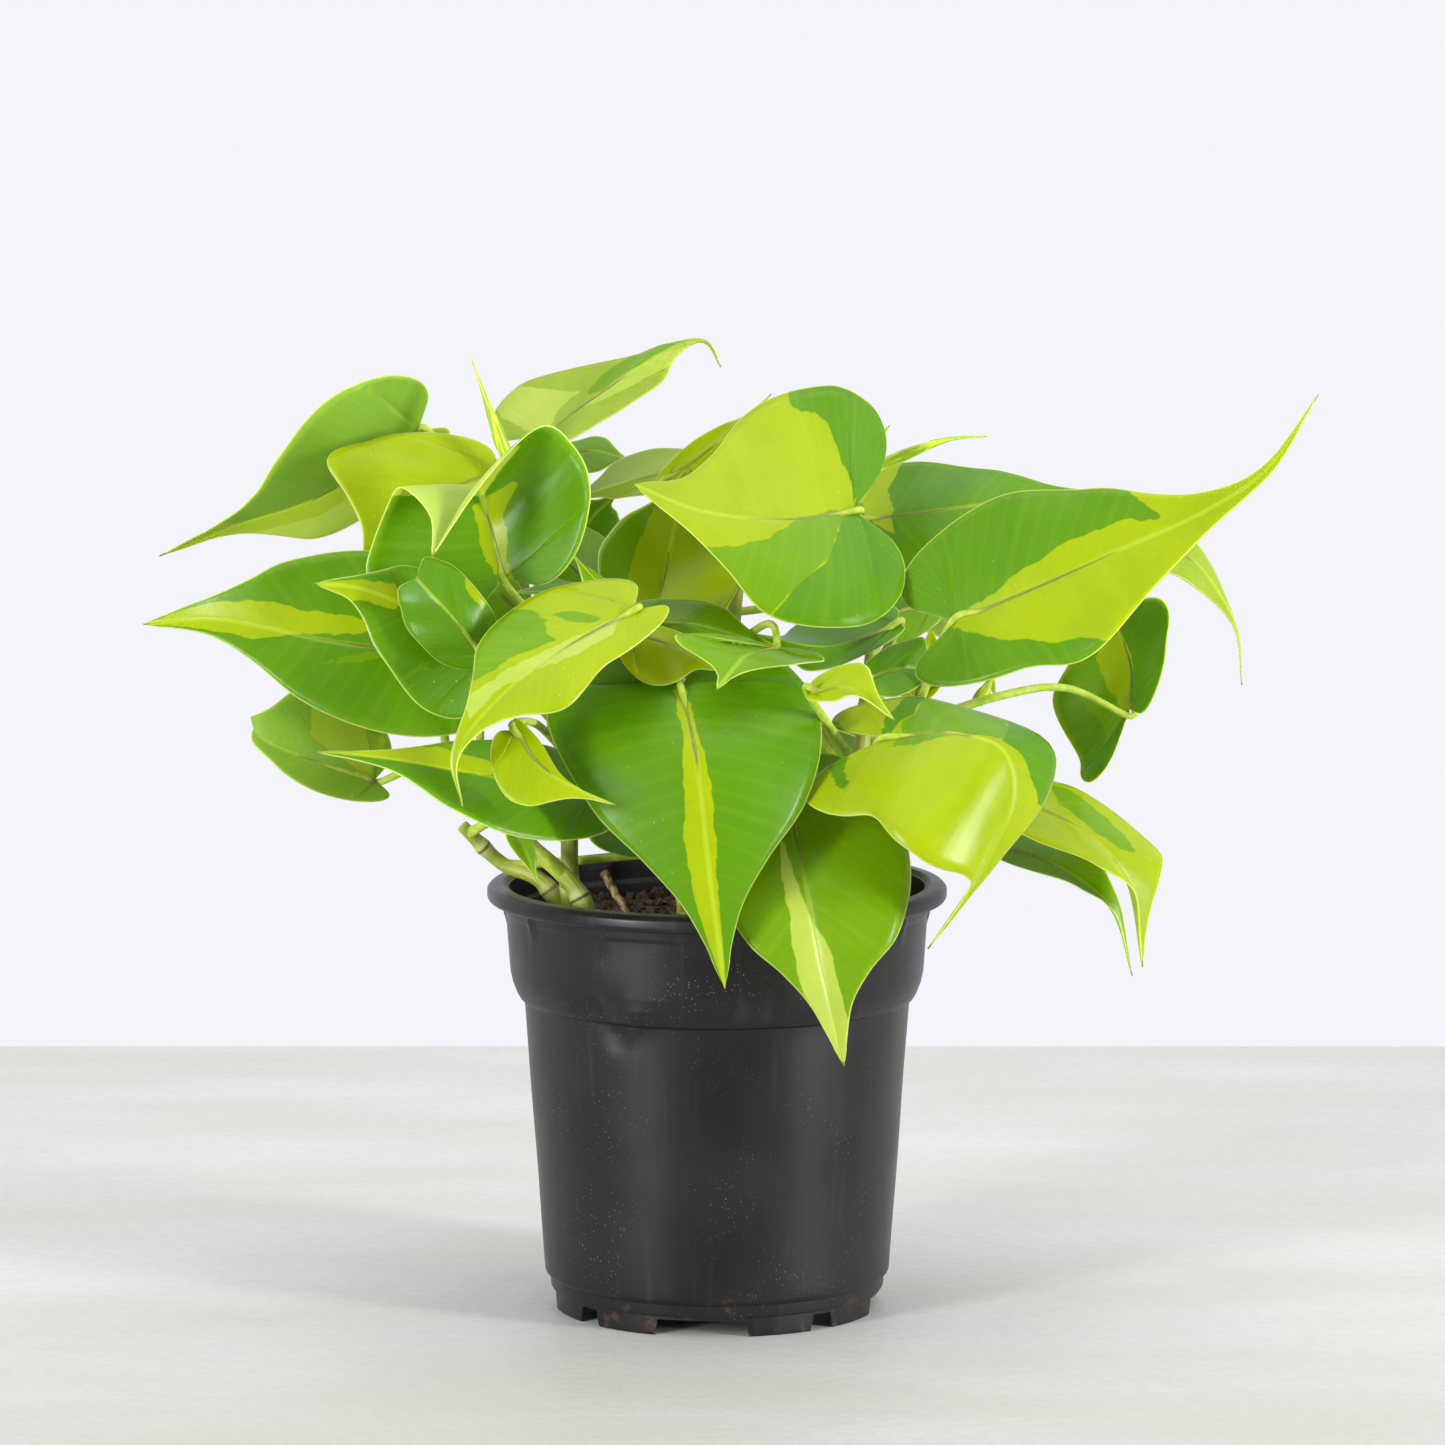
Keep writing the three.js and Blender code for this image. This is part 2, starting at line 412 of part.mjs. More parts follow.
function nurseryPot() {
  const lipFoot = POT_HEIGHT - LIP_HEIGHT;
  const ring = [
    [0, FLOOR_HEIGHT], [FOOT_RADIUS - POT_WALL - 0.6, FLOOR_HEIGHT], [FOOT_RADIUS - POT_WALL, 0],
    ...potOutside,
    [collarRadius + 0.3, lipFoot - 0.4], [RIM_RADIUS - LIP_ROUND / 2, lipFoot],
    [RIM_RADIUS, lipFoot + LIP_ROUND], [RIM_RADIUS, POT_HEIGHT - LIP_ROUND],
    [RIM_RADIUS - LIP_ROUND, POT_HEIGHT - LIP_ROUND / 3],
    [collarRadius, POT_HEIGHT], [collarRadius - POT_WALL, POT_HEIGHT - LIP_ROUND / 2],
    ...insideHeights.toReversed().map((z) => [insideRadius(z), z]),
    [insideRadius(floorTop), floorTop], [0, floorTop],
  ];
  let pot = latheUp(ring, POT_SEGMENTS);
  for (let i = 0; i < 2 * NOTCH_PAIRS; i++) {
    const turn = THREE.MathUtils.degToRad(NOTCH_TURN + (i * 180) / NOTCH_PAIRS);
    const notch = footNotch(i % 2 ? NARROW_NOTCH : WIDE_NOTCH).rotateZ(turn);
    const hole = new THREE.CylinderGeometry(DRAIN_RADIUS, DRAIN_RADIUS, 4 * POT_WALL, 12);
    hole.rotateX(Math.PI / 2).translate(0, -DRAIN_CIRCLE, FLOOR_HEIGHT).rotateZ(turn);
    pot = pot.subtract(solid(notch)).subtract(solid(hole));
  }
  return pot;
}

function pottingMix(sleeves) {
  const top = POT_HEIGHT - SOIL_DROP;
  const profile = [
    [0, floorTop + GAP],
    [insideRadius(floorTop + GAP) - GAP, floorTop + GAP],
    ...insideHeights.filter((z) => z < top - 2).map((z) => [insideRadius(z) - GAP, z]),
    [insideRadius(top - 1) - GAP, top - 1],
    [insideRadius(top) * 0.75, top],
    [0, top + SOIL_CROWN],
  ];
  return sleeves.reduce((soil, sleeve) => soil.subtract(sleeve), latheUp(profile, SOIL_SEGMENTS));
}

const stemRadius = taper(STEM_ROOT_RADIUS, STEM_TIP_RADIUS);
const stemTube = (curve, extra) => solid(tube(curve, (share) => stemRadius(share) + extra, 6, 7));

// The outline of one half as a curve, with the drip tip added to the heart.
function outlineCurve(tail) {
  const tip = 1 / (1 - tail);
  const shares = [...HEART, [(1 + tip) / 2, 0.045], [tip, 0]];
  return curveThrough(shares.map(([along, out]) => new THREE.Vector3(along, out, 0)));
}

// Points of a blade: rows run from the stalk to the tip, columns from the left margin over
// the midrib to the right margin. Each half goes out from the midrib towards its margin
// points, along an arc that turns by its bend.
function bladeGrid(leaf) {
  const rib = drawnCurve(leaf.rib);
  const length = rib.getLength();
  const body = length * (1 - leaf.tail);
  const outline = outlineCurve(leaf.tail);
  const onCurve = (x) => THREE.MathUtils.clamp(x / length, 0, 1);
  const onRib = (x) => rib.getPointAt(onCurve(x)).addScaledVector(rib.getTangentAt(0), Math.min(x, 0));
  const halves = [leaf.left, leaf.right].map((margin, side) => {
    const widest = drawn(margin[0]).sub(onRib(WIDEST * body));
    const middle = margin.length > 1
      ? drawn(margin[1]).sub(onRib(MIDDLE * body)).divideScalar(MIDDLE_WIDTH)
      : widest;
    const bend = THREE.MathUtils.degToRad(leaf.curl[side]) || 1e-3;
    return { widest, middle, bend, sign: side ? 1 : -1 };
  });
  const point = (share, v) => {
    const edge = outline.getPoint(share);
    const half = halves[v < 0 ? 0 : 1];
    const drawnOut = Math.max(edge.x, 0) ** VEIN_DRAW / Math.max(edge.x, 1) ** (VEIN_DRAW - 1);
    const root = body * (0.02 * share + drawnOut);
    const x = root + (edge.x * body - root) * Math.abs(v) ** VEIN_SWEEP;
    const blend = THREE.MathUtils.smoothstep(x / body, WIDEST, MIDDLE);
    const out = half.widest.clone().lerp(half.middle, blend);
    const width = (out.length() * (half.bend / 2)) / Math.sin(half.bend / 2);
    out.normalize();
    const turn = half.bend / width;
    const angle = turn * Math.abs(v) * edge.y * width - half.bend / 2;
    const lateral = (Math.sin(angle) + Math.sin(half.bend / 2)) / turn;
    const lift = (Math.cos(half.bend / 2) - Math.cos(angle)) / turn;
    const along = rib.getTangentAt(onCurve(x));
    const normal = out.clone().cross(along).multiplyScalar(half.sign).normalize();
    return onRib(x).addScaledVector(out, lateral).addScaledVector(normal, lift);
  };
  const grid = [];
  for (let r = 0; r <= LEAF_ROWS; r++) {
    const share = THREE.MathUtils.lerp(BLADE_START, BLADE_END, r / LEAF_ROWS);
    const row = [];
    for (let c = -LEAF_COLUMNS; c <= LEAF_COLUMNS; c++) row.push(point(share, c / LEAF_COLUMNS));
    grid.push(row);
  }
  return grid;
}

// Whether all the points stand clear of a stem.
function clearOf(stemCurve, points) {
  for (let i = 0; i <= STEM_SAMPLES; i++) {
    const centre = stemCurve.getPointAt(i / STEM_SAMPLES);
    const reach = stemRadius(i / STEM_SAMPLES) + GAP;
    if (points.some((p) => p.distanceTo(centre) < reach)) return false;
  }
  return true;
}

// Rings of the stalk, from beside the stem to just before the blade's first row.
function stalkRings(leaf, stemCurve, row) {
  const last = row.length - 1;
  const approach = drawnCurve(leaf.rib).getTangentAt(0);
  const end = row[LEAF_COLUMNS].clone().addScaledVector(approach, -STALK_JOIN);
  const route = curveThrough([stemCurve.getPointAt(leaf.at), ...leaf.stalk.map(drawn), end]);
  const across = row[last].clone().sub(row[0]);
  const ring = (share, radius) => {
    const tangent = route.getTangentAt(share);
    across.addScaledVector(tangent, -across.dot(tangent)).normalize();
    const upward = across.clone().cross(tangent);
    return Array.from({ length: 2 * row.length }, (_, j) => {
      const angle = Math.PI * (1 - (j + 0.5) / row.length);
      return route.getPointAt(share)
        .addScaledVector(across, radius * Math.cos(angle))
        .addScaledVector(upward, radius * Math.sin(angle));
    });
  };
  let start = 0;
  while (!clearOf(stemCurve, ring(start, STALK_ROOT_RADIUS))) start += STALK_STEP / route.getLength();
  const steps = STALK_RINGS + leaf.stalk.length;
  across.copy(row[last]).sub(row[0]);
  const rings = [];
  for (let i = steps; i >= 0; i--) {
    const share = THREE.MathUtils.lerp(start, 1, i / steps);
    rings.unshift(ring(share, THREE.MathUtils.lerp(STALK_ROOT_RADIUS, STALK_TIP_RADIUS, i / steps)));
  }
  return rings;
}

function leafBody(leaf, stemCurve) {
  const grid = bladeGrid(leaf);
  return solid(leafSurface(grid, stalkRings(leaf, stemCurve, grid[0]), LEAF_THICKNESS));
}

// ---- The plant -----------------------------------------------------------------------------
const plant = new THREE.Group();

function addPiece(name, manifold, color, roughness) {
  const material = new THREE.MeshStandardMaterial({ color, roughness, metalness: 0 });
  const mesh = new THREE.Mesh(geometryOf(manifold), material);
  mesh.name = name;
  plant.add(mesh);
}

const stemCurves = Object.fromEntries(
  Object.entries(STEMS).map(([name, route]) => [name, drawnCurve(route)]),
);
const sleeves = Object.values(stemCurves).map((curve) => stemTube(curve, GAP));

addPiece("nursery_pot", nurseryPot(), 0x1b1b1d, 0.45);
addPiece("potting_mix", pottingMix(sleeves), 0x2b211b, 0.95);
for (const [name, curve] of Object.entries(stemCurves)) {
  addPiece(`stem_${name}`, stemTube(curve, 0), 0x8d9a3c, 0.55);
}
const rootTube = tube(drawnCurve(AERIAL_ROOT), taper(ROOT_RADIUS, ROOT_RADIUS / 2), 6, 6);
addPiece("aerial_root", solid(rootTube), 0x7a5a38, 0.9);
for (const { name, route, radius } of SPEARS) {
  addPiece(name, solid(tube(drawnCurve(route), taper(radius, radius / 5), 6, 6)), GREEN.lime, 0.4);
}
for (const leaf of LEAVES) {
  const body = leafBody(leaf, stemCurves[leaf.stem]);
  addPiece(`leaf_${leaf.name}`, body, GREEN[leaf.green], 0.4);
}

export default plant;
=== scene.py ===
# %% [markdown]
# # A potted heart-leaf philodendron
# The plant is made of 60 parts that were drawn and packed as solids: a thin black nursery pot,
# the potting mix, stems, a root, rolled young leaves and 45 open leaves. This notebook loads
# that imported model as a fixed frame, and then builds a finely shaped and coloured piece in the
# place of every solid. Lengths in the tables are millimetres, and meshes are made in metres.

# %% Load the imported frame
import math

import bmesh
import bpy
import numpy as np
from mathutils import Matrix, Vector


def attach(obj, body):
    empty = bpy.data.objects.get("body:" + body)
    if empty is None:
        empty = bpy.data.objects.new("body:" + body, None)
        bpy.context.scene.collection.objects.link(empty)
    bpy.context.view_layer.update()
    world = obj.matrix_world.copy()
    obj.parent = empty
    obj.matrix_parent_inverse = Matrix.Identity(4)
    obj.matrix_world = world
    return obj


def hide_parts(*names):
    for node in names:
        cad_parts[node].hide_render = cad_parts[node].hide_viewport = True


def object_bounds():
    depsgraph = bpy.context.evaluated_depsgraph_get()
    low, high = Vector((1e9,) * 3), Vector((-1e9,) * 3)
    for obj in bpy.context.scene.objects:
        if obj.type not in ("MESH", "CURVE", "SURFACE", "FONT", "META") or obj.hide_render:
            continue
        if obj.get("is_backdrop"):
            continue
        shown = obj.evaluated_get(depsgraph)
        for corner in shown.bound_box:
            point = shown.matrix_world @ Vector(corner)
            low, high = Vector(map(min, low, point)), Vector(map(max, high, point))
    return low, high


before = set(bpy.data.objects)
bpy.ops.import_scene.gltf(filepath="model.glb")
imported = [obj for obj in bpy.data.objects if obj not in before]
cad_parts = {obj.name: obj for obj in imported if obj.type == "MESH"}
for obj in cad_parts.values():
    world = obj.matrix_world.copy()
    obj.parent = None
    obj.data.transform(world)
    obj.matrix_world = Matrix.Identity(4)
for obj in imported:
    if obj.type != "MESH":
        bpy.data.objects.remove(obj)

cad_box = [list(corner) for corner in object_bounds()]
print(len(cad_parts), "solids in the frame, box", cad_box)

# %% [markdown]
# ## Camera
# The plant is seen from the front and a little above, from 1.7 m away with a long lens, so
# that the pot keeps nearly straight sides. The camera is made first because everything that
# is looked at later is looked at through it.

# %% Make the camera
CAMERA_DISTANCE = 1.7
CAMERA_HEIGHT = 0.375
CAMERA_SIDE = 0.0014
AIM_HEIGHT = 0.1537
LENS = 164.2

camera = bpy.data.objects.new("camera", bpy.data.cameras.new("camera"))
bpy.context.collection.objects.link(camera)
bpy.context.scene.camera = camera
camera.data.lens = LENS
camera.location = (CAMERA_SIDE, -CAMERA_DISTANCE, CAMERA_HEIGHT)
tilt = math.atan((CAMERA_HEIGHT - AIM_HEIGHT) / CAMERA_DISTANCE)
camera.rotation_euler = (math.pi / 2 - tilt, 0, 0)
print("camera looks down by", round(math.degrees(tilt), 2), "degrees")

# %% [markdown]
# ## Colours and small helpers for materials
# A colour is easiest to think of as the numbers a screen shows, but a shader wants the amount
# of light. `screen_colour` turns one into the other. Nodes are added by short helpers, so that
# each material below reads as a list of what it does.

# %% Colour and node helpers
def screen_colour(code):
    """Light values of a screen colour such as "3f8f12": each channel c in 0..1 becomes
    ((c + 0.055) / 1.055) to the power 2.4, or c / 12.92 where it is very dark."""
    channels = np.array([int(code[i:i + 2], 16) for i in (0, 2, 4)]) / 255
    light = np.where(channels <= 0.04045, channels / 12.92, ((channels + 0.055) / 1.055) ** 2.4)
    return (*light.tolist(), 1.0)


def add_node(tree, kind, inputs=None, **settings):
    """Adds a node, applies its settings, and fills or links its inputs by name or number."""
    node = tree.nodes.new("ShaderNode" + kind)
    for name, value in settings.items():
        setattr(node, name, value)
    for name, value in (inputs or {}).items():
        if isinstance(value, bpy.types.NodeSocket):
            tree.links.new(value, node.inputs[name])
        else:
            node.inputs[name].default_value = value
    return node


def calculate(tree, operation, a, b=0.0, c=0.0):
    """One arithmetic step on numbers, such as MULTIPLY or MULTIPLY_ADD."""
    return add_node(tree, "Math", {0: a, 1: b, 2: c}, operation=operation).outputs[0]


def ramp(tree, value, low, high, out_low=0.0, out_high=1.0):
    """Goes smoothly from out_low to out_high while the value goes from low to high."""
    node = add_node(tree, "MapRange", {"Value": value, "From Min": low, "From Max": high,
                                       "To Min": out_low, "To Max": out_high})
    node.interpolation_type = "SMOOTHSTEP"
    return node.outputs["Result"]


def blend_colours(tree, factor, a, b, mode="MIX"):
    """Mixes two colours; the factor 0 gives the first and 1 the second."""
    node = tree.nodes.new("ShaderNodeMix")
    node.data_type = "RGBA"
    node.blend_type = mode
    for number, value in ((0, factor), (6, a), (7, b)):
        if isinstance(value, bpy.types.NodeSocket):
            tree.links.new(value, node.inputs[number])
        else:
            node.inputs[number].default_value = value
    return node.outputs[2]


def noise(tree, vector, scale, detail=2.0):
    """Soft random values between 0 and 1 that change over the given coordinates."""
    node = add_node(tree, "TexNoise", {"Vector": vector, "Scale": scale, "Detail": detail})
    return node.outputs["Fac"]


def new_group(name, inputs, outputs):
    """An empty shader node group with named sockets, and its input and output nodes."""
    tree = bpy.data.node_groups.new(name, "ShaderNodeTree")
    for socket, kind, value in inputs:
        made = tree.interface.new_socket(socket, in_out="INPUT", socket_type="NodeSocket" + kind)
        made.default_value = value
    for socket, kind in outputs:
        tree.interface.new_socket(socket, in_out="OUTPUT", socket_type="NodeSocket" + kind)
    return tree, tree.nodes.new("NodeGroupInput").outputs, tree.nodes.new("NodeGroupOutput").inputs


def place_group(tree, group, **values):
    """Places a group in a material and fills its inputs, with _ standing for a space."""
    node = tree.nodes.new("ShaderNodeGroup")
    node.node_tree = group
    for name, value in values.items():
        socket = node.inputs[name.replace("_", " ")]
        if isinstance(value, bpy.types.NodeSocket):
            tree.links.new(value, socket)
        else:
            socket.default_value = value
    return node.outputs


def new_material(name, roughness=0.5, specular=0.5):
    """A material with one Principled shader, whose tree and shader are returned too."""
    material = bpy.data.materials.new(name)
    material.use_nodes = True
    shader = material.node_tree.nodes["Principled BSDF"]
    shader.inputs["Roughness"].default_value = roughness
    shader.inputs["Specular IOR Level"].default_value = specular
    return material, material.node_tree, shader


def add_bump(tree, shader, height, distance):
    """Lets a height pattern tilt the surface; the distance is its real depth in metres."""
    bump = add_node(tree, "Bump", {"Height": height, "Distance": distance})
    tree.links.new(bump.outputs["Normal"], shader.inputs["Normal"])


print("a lime green is", [round(c, 3) for c in screen_colour("98a900")])

# %% [markdown]
# ## Shapes from arrays
# Every piece is a grid of points worked out at once with numpy. A grid becomes a mesh by
# joining neighbours, and a tube or a turned pot is a grid whose last column meets its first.
# `curve_through` draws a smooth route through a few points, as a gardener's eye follows a stem.

# %% Curves
MM = 0.001


def curve_through(points, steps=160):
    """Dense points of a smooth curve through the given ones. Between two points p and q with
    slopes s and t it is the cubic (2p - 2q + s + t) u^3 + (-3p + 3q - 2s - t) u^2 + s u + p,
    where a slope is half of the way from the point before to the point after."""
    p = np.asarray(points, float)
    padded = np.vstack([2 * p[0] - p[1], p, 2 * p[-1] - p[-2]])
    slope = (padded[2:] - padded[:-2]) / 2
    u = np.linspace(0, 1, steps, endpoint=False)[None, :, None]
    start, end, s, t = (a[:, None, :] for a in (p[:-1], p[1:], slope[:-1], slope[1:]))
    cubic = (2 * start - 2 * end + s + t) * u ** 3 + (3 * end - 3 * start - 2 * s - t) * u ** 2
    dense = (cubic + s * u + start).reshape(-1, p.shape[1])
    return np.vstack([dense, p[-1]])


def distances(curve):
    """How far along the curve each of its points is."""
    return np.r_[0, np.cumsum(np.linalg.norm(np.diff(curve, axis=0), axis=1))]


def at_distance(curve, distance):
    """Points at given distances along a curve. Before the start it goes on straight."""
    marks = distances(curve)
    inside = np.clip(distance, 0, marks[-1])
    found = np.stack([np.interp(inside, marks, curve[:, k]) for k in range(3)], -1)
    first = (curve[1] - curve[0]) / np.linalg.norm(curve[1] - curve[0])
    return found + np.minimum(distance, 0)[..., None] * first


def unit(vectors):
    """The same directions with length one."""
    return vectors / np.maximum(np.linalg.norm(vectors, axis=-1, keepdims=True), 1e-9)


def direction_at(curve, distance):
    """The curve's direction, from two points a hundredth of its length to each side."""
    marks = distances(curve)
    step = marks[-1] * 0.01
    before = at_distance(curve, np.clip(distance - step, 0, marks[-1]))
    return unit(at_distance(curve, np.clip(distance + step, 0, marks[-1])) - before)


def waves(points, scale, seed, count=14):
    """A smooth bumpy value between about -1 and 1 at each point: the mean of sine waves in
    random directions, whose lengths lie round the scale."""
    rng = np.random.default_rng(seed)
    ways = unit(rng.normal(size=(count, points.shape[-1]))) * rng.uniform(0.6, 1.8, (count, 1))
    phase = rng.uniform(0, 2 * np.pi, count)
    return np.sin(points @ ways.T * (2 * np.pi / scale) + phase).sum(-1) / count ** 0.5 / 1.4


print("helper curves ready; a test wave is", round(float(waves(np.ones((1, 3)), 5, 1)[0]), 3))

# %% Meshes from grids
def grid_faces(rows, columns, first=0, closed=False, flip=False):
    """Corner numbers of the four-sided faces between the points of a grid."""
    r, c = np.meshgrid(np.arange(rows - 1), np.arange(columns - (not closed)), indexing="ij")
    right = (c + 1) % columns
    corners = [r * columns + c, r * columns + right, (r + 1) * columns + right, (r + 1) * columns + c]
    faces = np.stack(corners, -1).reshape(-1, 4) + first
    return faces[:, ::-1] if flip else faces


def make_piece(name, points, faces, material, node=None, fields=None, uv=None, smooth=True):
    """Makes a mesh piece from points in millimetres, with its values at each point, rides it
    on the plant's only body, and hides the imported solid of that name if one is named."""
    mesh = bpy.data.meshes.new(name)
    mesh.from_pydata((points * MM).tolist(), [], [f.tolist() for f in faces])
    for field, values in (fields or {}).items():
        layer = mesh.attributes.new(field, "FLOAT", "POINT")
        layer.data.foreach_set("value", np.asarray(values, np.float32).ravel())
    if uv is not None:
        layer = mesh.uv_layers.new(name="surface")
        corner = np.empty(len(mesh.loops), np.int32)
        mesh.loops.foreach_get("vertex_index", corner)
        layer.data.foreach_set("uv", np.asarray(uv, np.float32)[corner].ravel())
    mesh.polygons.foreach_set("use_smooth", np.full(len(mesh.polygons), smooth))
    mesh.materials.append(material)
    mesh.validate()
    piece = bpy.data.objects.new(name, mesh)
    bpy.context.collection.objects.link(piece)
    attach(piece, "root")
    if node:
        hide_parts(node)
    return piece


def tube(curve, radius, sides, steps):
    """Points and faces of a closed round tube. At share s of the way, its ring lies in the
    plane across the curve's direction, turned from the flattest side of the whole curve, at
    radius(s, angle). Both ends are closed by a point."""
    share = np.linspace(0, 1, steps)
    length = distances(curve)[-1]
    centre = at_distance(curve, share * length)
    ahead = direction_at(curve, share * length)
    flat = np.linalg.svd(curve - curve.mean(0), full_matrices=False)[2][2]
    side = unit(np.cross(ahead, flat))
    over = np.cross(ahead, side)
    angle = np.linspace(0, 2 * np.pi, sides, endpoint=False)
    reach = np.broadcast_to(radius(share[:, None], angle[None, :]), (steps, sides))[..., None]
    ring = centre[:, None] + reach * (side[:, None] * np.cos(angle)[None, :, None]
                                      + over[:, None] * np.sin(angle)[None, :, None])
    points = np.vstack([ring.reshape(-1, 3), centre[:1], centre[-1:]])
    j = np.arange(sides)
    k = (j + 1) % sides
    first, last = steps * sides, steps * sides + 1
    caps = [np.stack([np.full(sides, first), k, j], -1),
            np.stack([np.full(sides, last), (steps - 1) * sides + j, (steps - 1) * sides + k], -1)]
    faces = [*grid_faces(steps, sides, closed=True), *caps[0], *caps[1]]
    share_at = np.r_[np.repeat(share, sides), share[0], share[-1]]
    angle_at = np.r_[np.tile(angle, steps), 0, 0] / (2 * np.pi)
    return points, faces, share_at, angle_at


print("mesh helpers ready;", len(grid_faces(4, 6, closed=True)), "faces in a 4 by 6 band")

# %% [markdown]
# ## Floor and light
# The pot stands on a pale, slightly mottled table top in a bright white room. The room is the
# world's own light, which is soft and a little weaker from the front, so that the black pot
# isn't washed out. Two narrow upright panels, low down and to the sides, put the long soft
# gleams on the pot, and one from above lights the leaves. The table top's colour is painted a
# little darker towards the front, as painted shade for where the room's light falls off.

# %% Floor
TABLE_BACK = 378
TABLE_FRONT = -2600
TABLE_SIDE = 1900


def make_floor():
    """A flat table top that ends a little way behind the plant. Its colour is a little darker in
    front: painted shade.
    """
    corners = np.array([[-TABLE_SIDE, TABLE_FRONT, 0], [TABLE_SIDE, TABLE_FRONT, 0],
                        [TABLE_SIDE, TABLE_BACK, 0], [-TABLE_SIDE, TABLE_BACK, 0]]) * MM
    mesh = bpy.data.meshes.new("table_top")
    mesh.from_pydata(corners.tolist(), [], [(0, 1, 2, 3)])
    material, tree, shader = new_material("pale_table_top", 0.55)
    place = add_node(tree, "TexCoord").outputs["Object"]
    stretched = add_node(tree, "Mapping", {"Vector": place, "Scale": (1, 2.6, 1)}).outputs[0]
    cloudy = ramp(tree, noise(tree, stretched, 5, 6), 0.3, 0.7)
    grain = noise(tree, place, 260, 3)
    tint = blend_colours(tree, cloudy, screen_colour("cac7be"), screen_colour("d4d3cf"))
    tint = blend_colours(tree, ramp(tree, grain, 0.35, 0.75, 0, 0.22), tint, screen_colour("b9b6ac"))
    # Painted shade: towards the front the table's colour is multiplied darker.
    back = add_node(tree, "SeparateXYZ", {0: place}).outputs[1]
    shade = ramp(tree, back, -0.4, 0.1, 1, 0)
    tint = blend_colours(tree, shade, tint, (0.68, 0.68, 0.65, 1), "MULTIPLY")
    tree.links.new(tint, shader.inputs["Base Color"])
    add_bump(tree, shader, grain, 0.0002)
    mesh.materials.append(material)
    floor = bpy.data.objects.new("table_top", mesh)
    bpy.context.collection.objects.link(floor)
    floor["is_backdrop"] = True
    return floor


floor = make_floor()
print("table top ends", TABLE_BACK, "mm behind the pot's middle")

# %% Light
def add_panel(name, place, target, size, power):
    """A soft square light that faces a target point."""
    data = bpy.data.lights.new(name, "AREA")
    data.shape = "RECTANGLE"
    data.size, data.size_y = size
    data.energy = power
    panel = bpy.data.objects.new(name, data)
    bpy.context.collection.objects.link(panel)
    panel.location = place
    panel.visible_camera = False
    aim = np.array(target) - np.array(place)
    flat = math.hypot(aim[0], aim[1])
    panel.rotation_euler = (math.atan2(flat, -aim[2]), 0, math.atan2(-aim[0], aim[1]))
    return panel


world = bpy.data.worlds.new("white_room")
bpy.context.scene.world = world
world.use_nodes = True
tree = world.node_tree
room = tree.nodes["Background"]
way = add_node(tree, "SeparateXYZ", {0: add_node(tree, "TexCoord").outputs["Generated"]}).outputs
depth = calculate(tree, "MULTIPLY_ADD", way[2], 0.35, way[1])
tree.links.new(ramp(tree, depth, -0.9, 0.5, 0.33, 0.95), room.inputs["Strength"])
room.inputs["Color"].default_value = (0.90, 0.93, 1.0, 1)
wall = add_node(tree, "Background", {"Color": (0.905, 0.91, 0.955, 1), "Strength": 1.0})
seen = add_node(tree, "LightPath").outputs["Is Camera Ray"]
chosen = add_node(tree, "MixShader", {0: seen, 1: room.outputs[0], 2: wall.outputs[0]})
tree.links.new(chosen.outputs[0], tree.nodes["World Output"].inputs["Surface"])

add_panel("window_right", (1.02, -0.62, 0.3), (0, 0, 0.06), (0.18, 0.56), 14.5)
add_panel("window_left", (-0.8, -0.84, 0.3), (0, 0, 0.06), (0.22, 0.56), 12)
add_panel("ceiling", (0.1, -0.05, 1.6), (0, 0, 0.1), (1.8, 1.6), 10)

# The plain view keeps the lime green as strong as the leaf's own colour.
bpy.context.scene.view_settings.view_transform = "Standard"

# %% [markdown]
# ## What a leaf is
# A heart-leaf has one soft, waxy blade on a round stalk. The blade is a heart whose two lobes
# reach back past the stalk, and it ends in a thin drip tip. Its side veins start at the midrib
# and sweep forward to the edge. A flat cut-out would look like paper, so each half is bent
# along its own arc and each margin is pulled to where it stands in the air. The tables give
# the stems, and for each leaf the midrib, the margin points, the bends and the tip's share.

# %% Stems and leaves, as they stand
STEMS = {
    "upright": [(-38, -18, 90), (-38, -21, 120), (-39, -20, 145), (-48, -14, 180), (-53, -2, 205)],
    "left": [(-28, -34, 90), (-35, -34, 113), (-48, -30, 126), (-62, -28, 138), (-74, -26, 148)],
    "left_low": [(-33, -9, 90), (-44, -11, 112), (-56, -8, 118), (-66, -10, 128)],
    "front": [(-8, -26, 90), (-8, -32, 120), (-8, -34, 150), (-6, -32, 172)],
    "centre": [(4, -4, 90), (2, -6, 130), (3, -4, 165), (6, 2, 198)],
    "right": [(26, -16, 90), (30, -20, 120), (38, -24, 142), (50, -22, 156)],
    "right_back": [(30, 10, 90), (36, 10, 130), (40, 12, 165), (44, 18, 196)],
    "back": [(-4, 30, 90), (-8, 36, 130), (-6, 42, 165), (-2, 46, 186)],
}

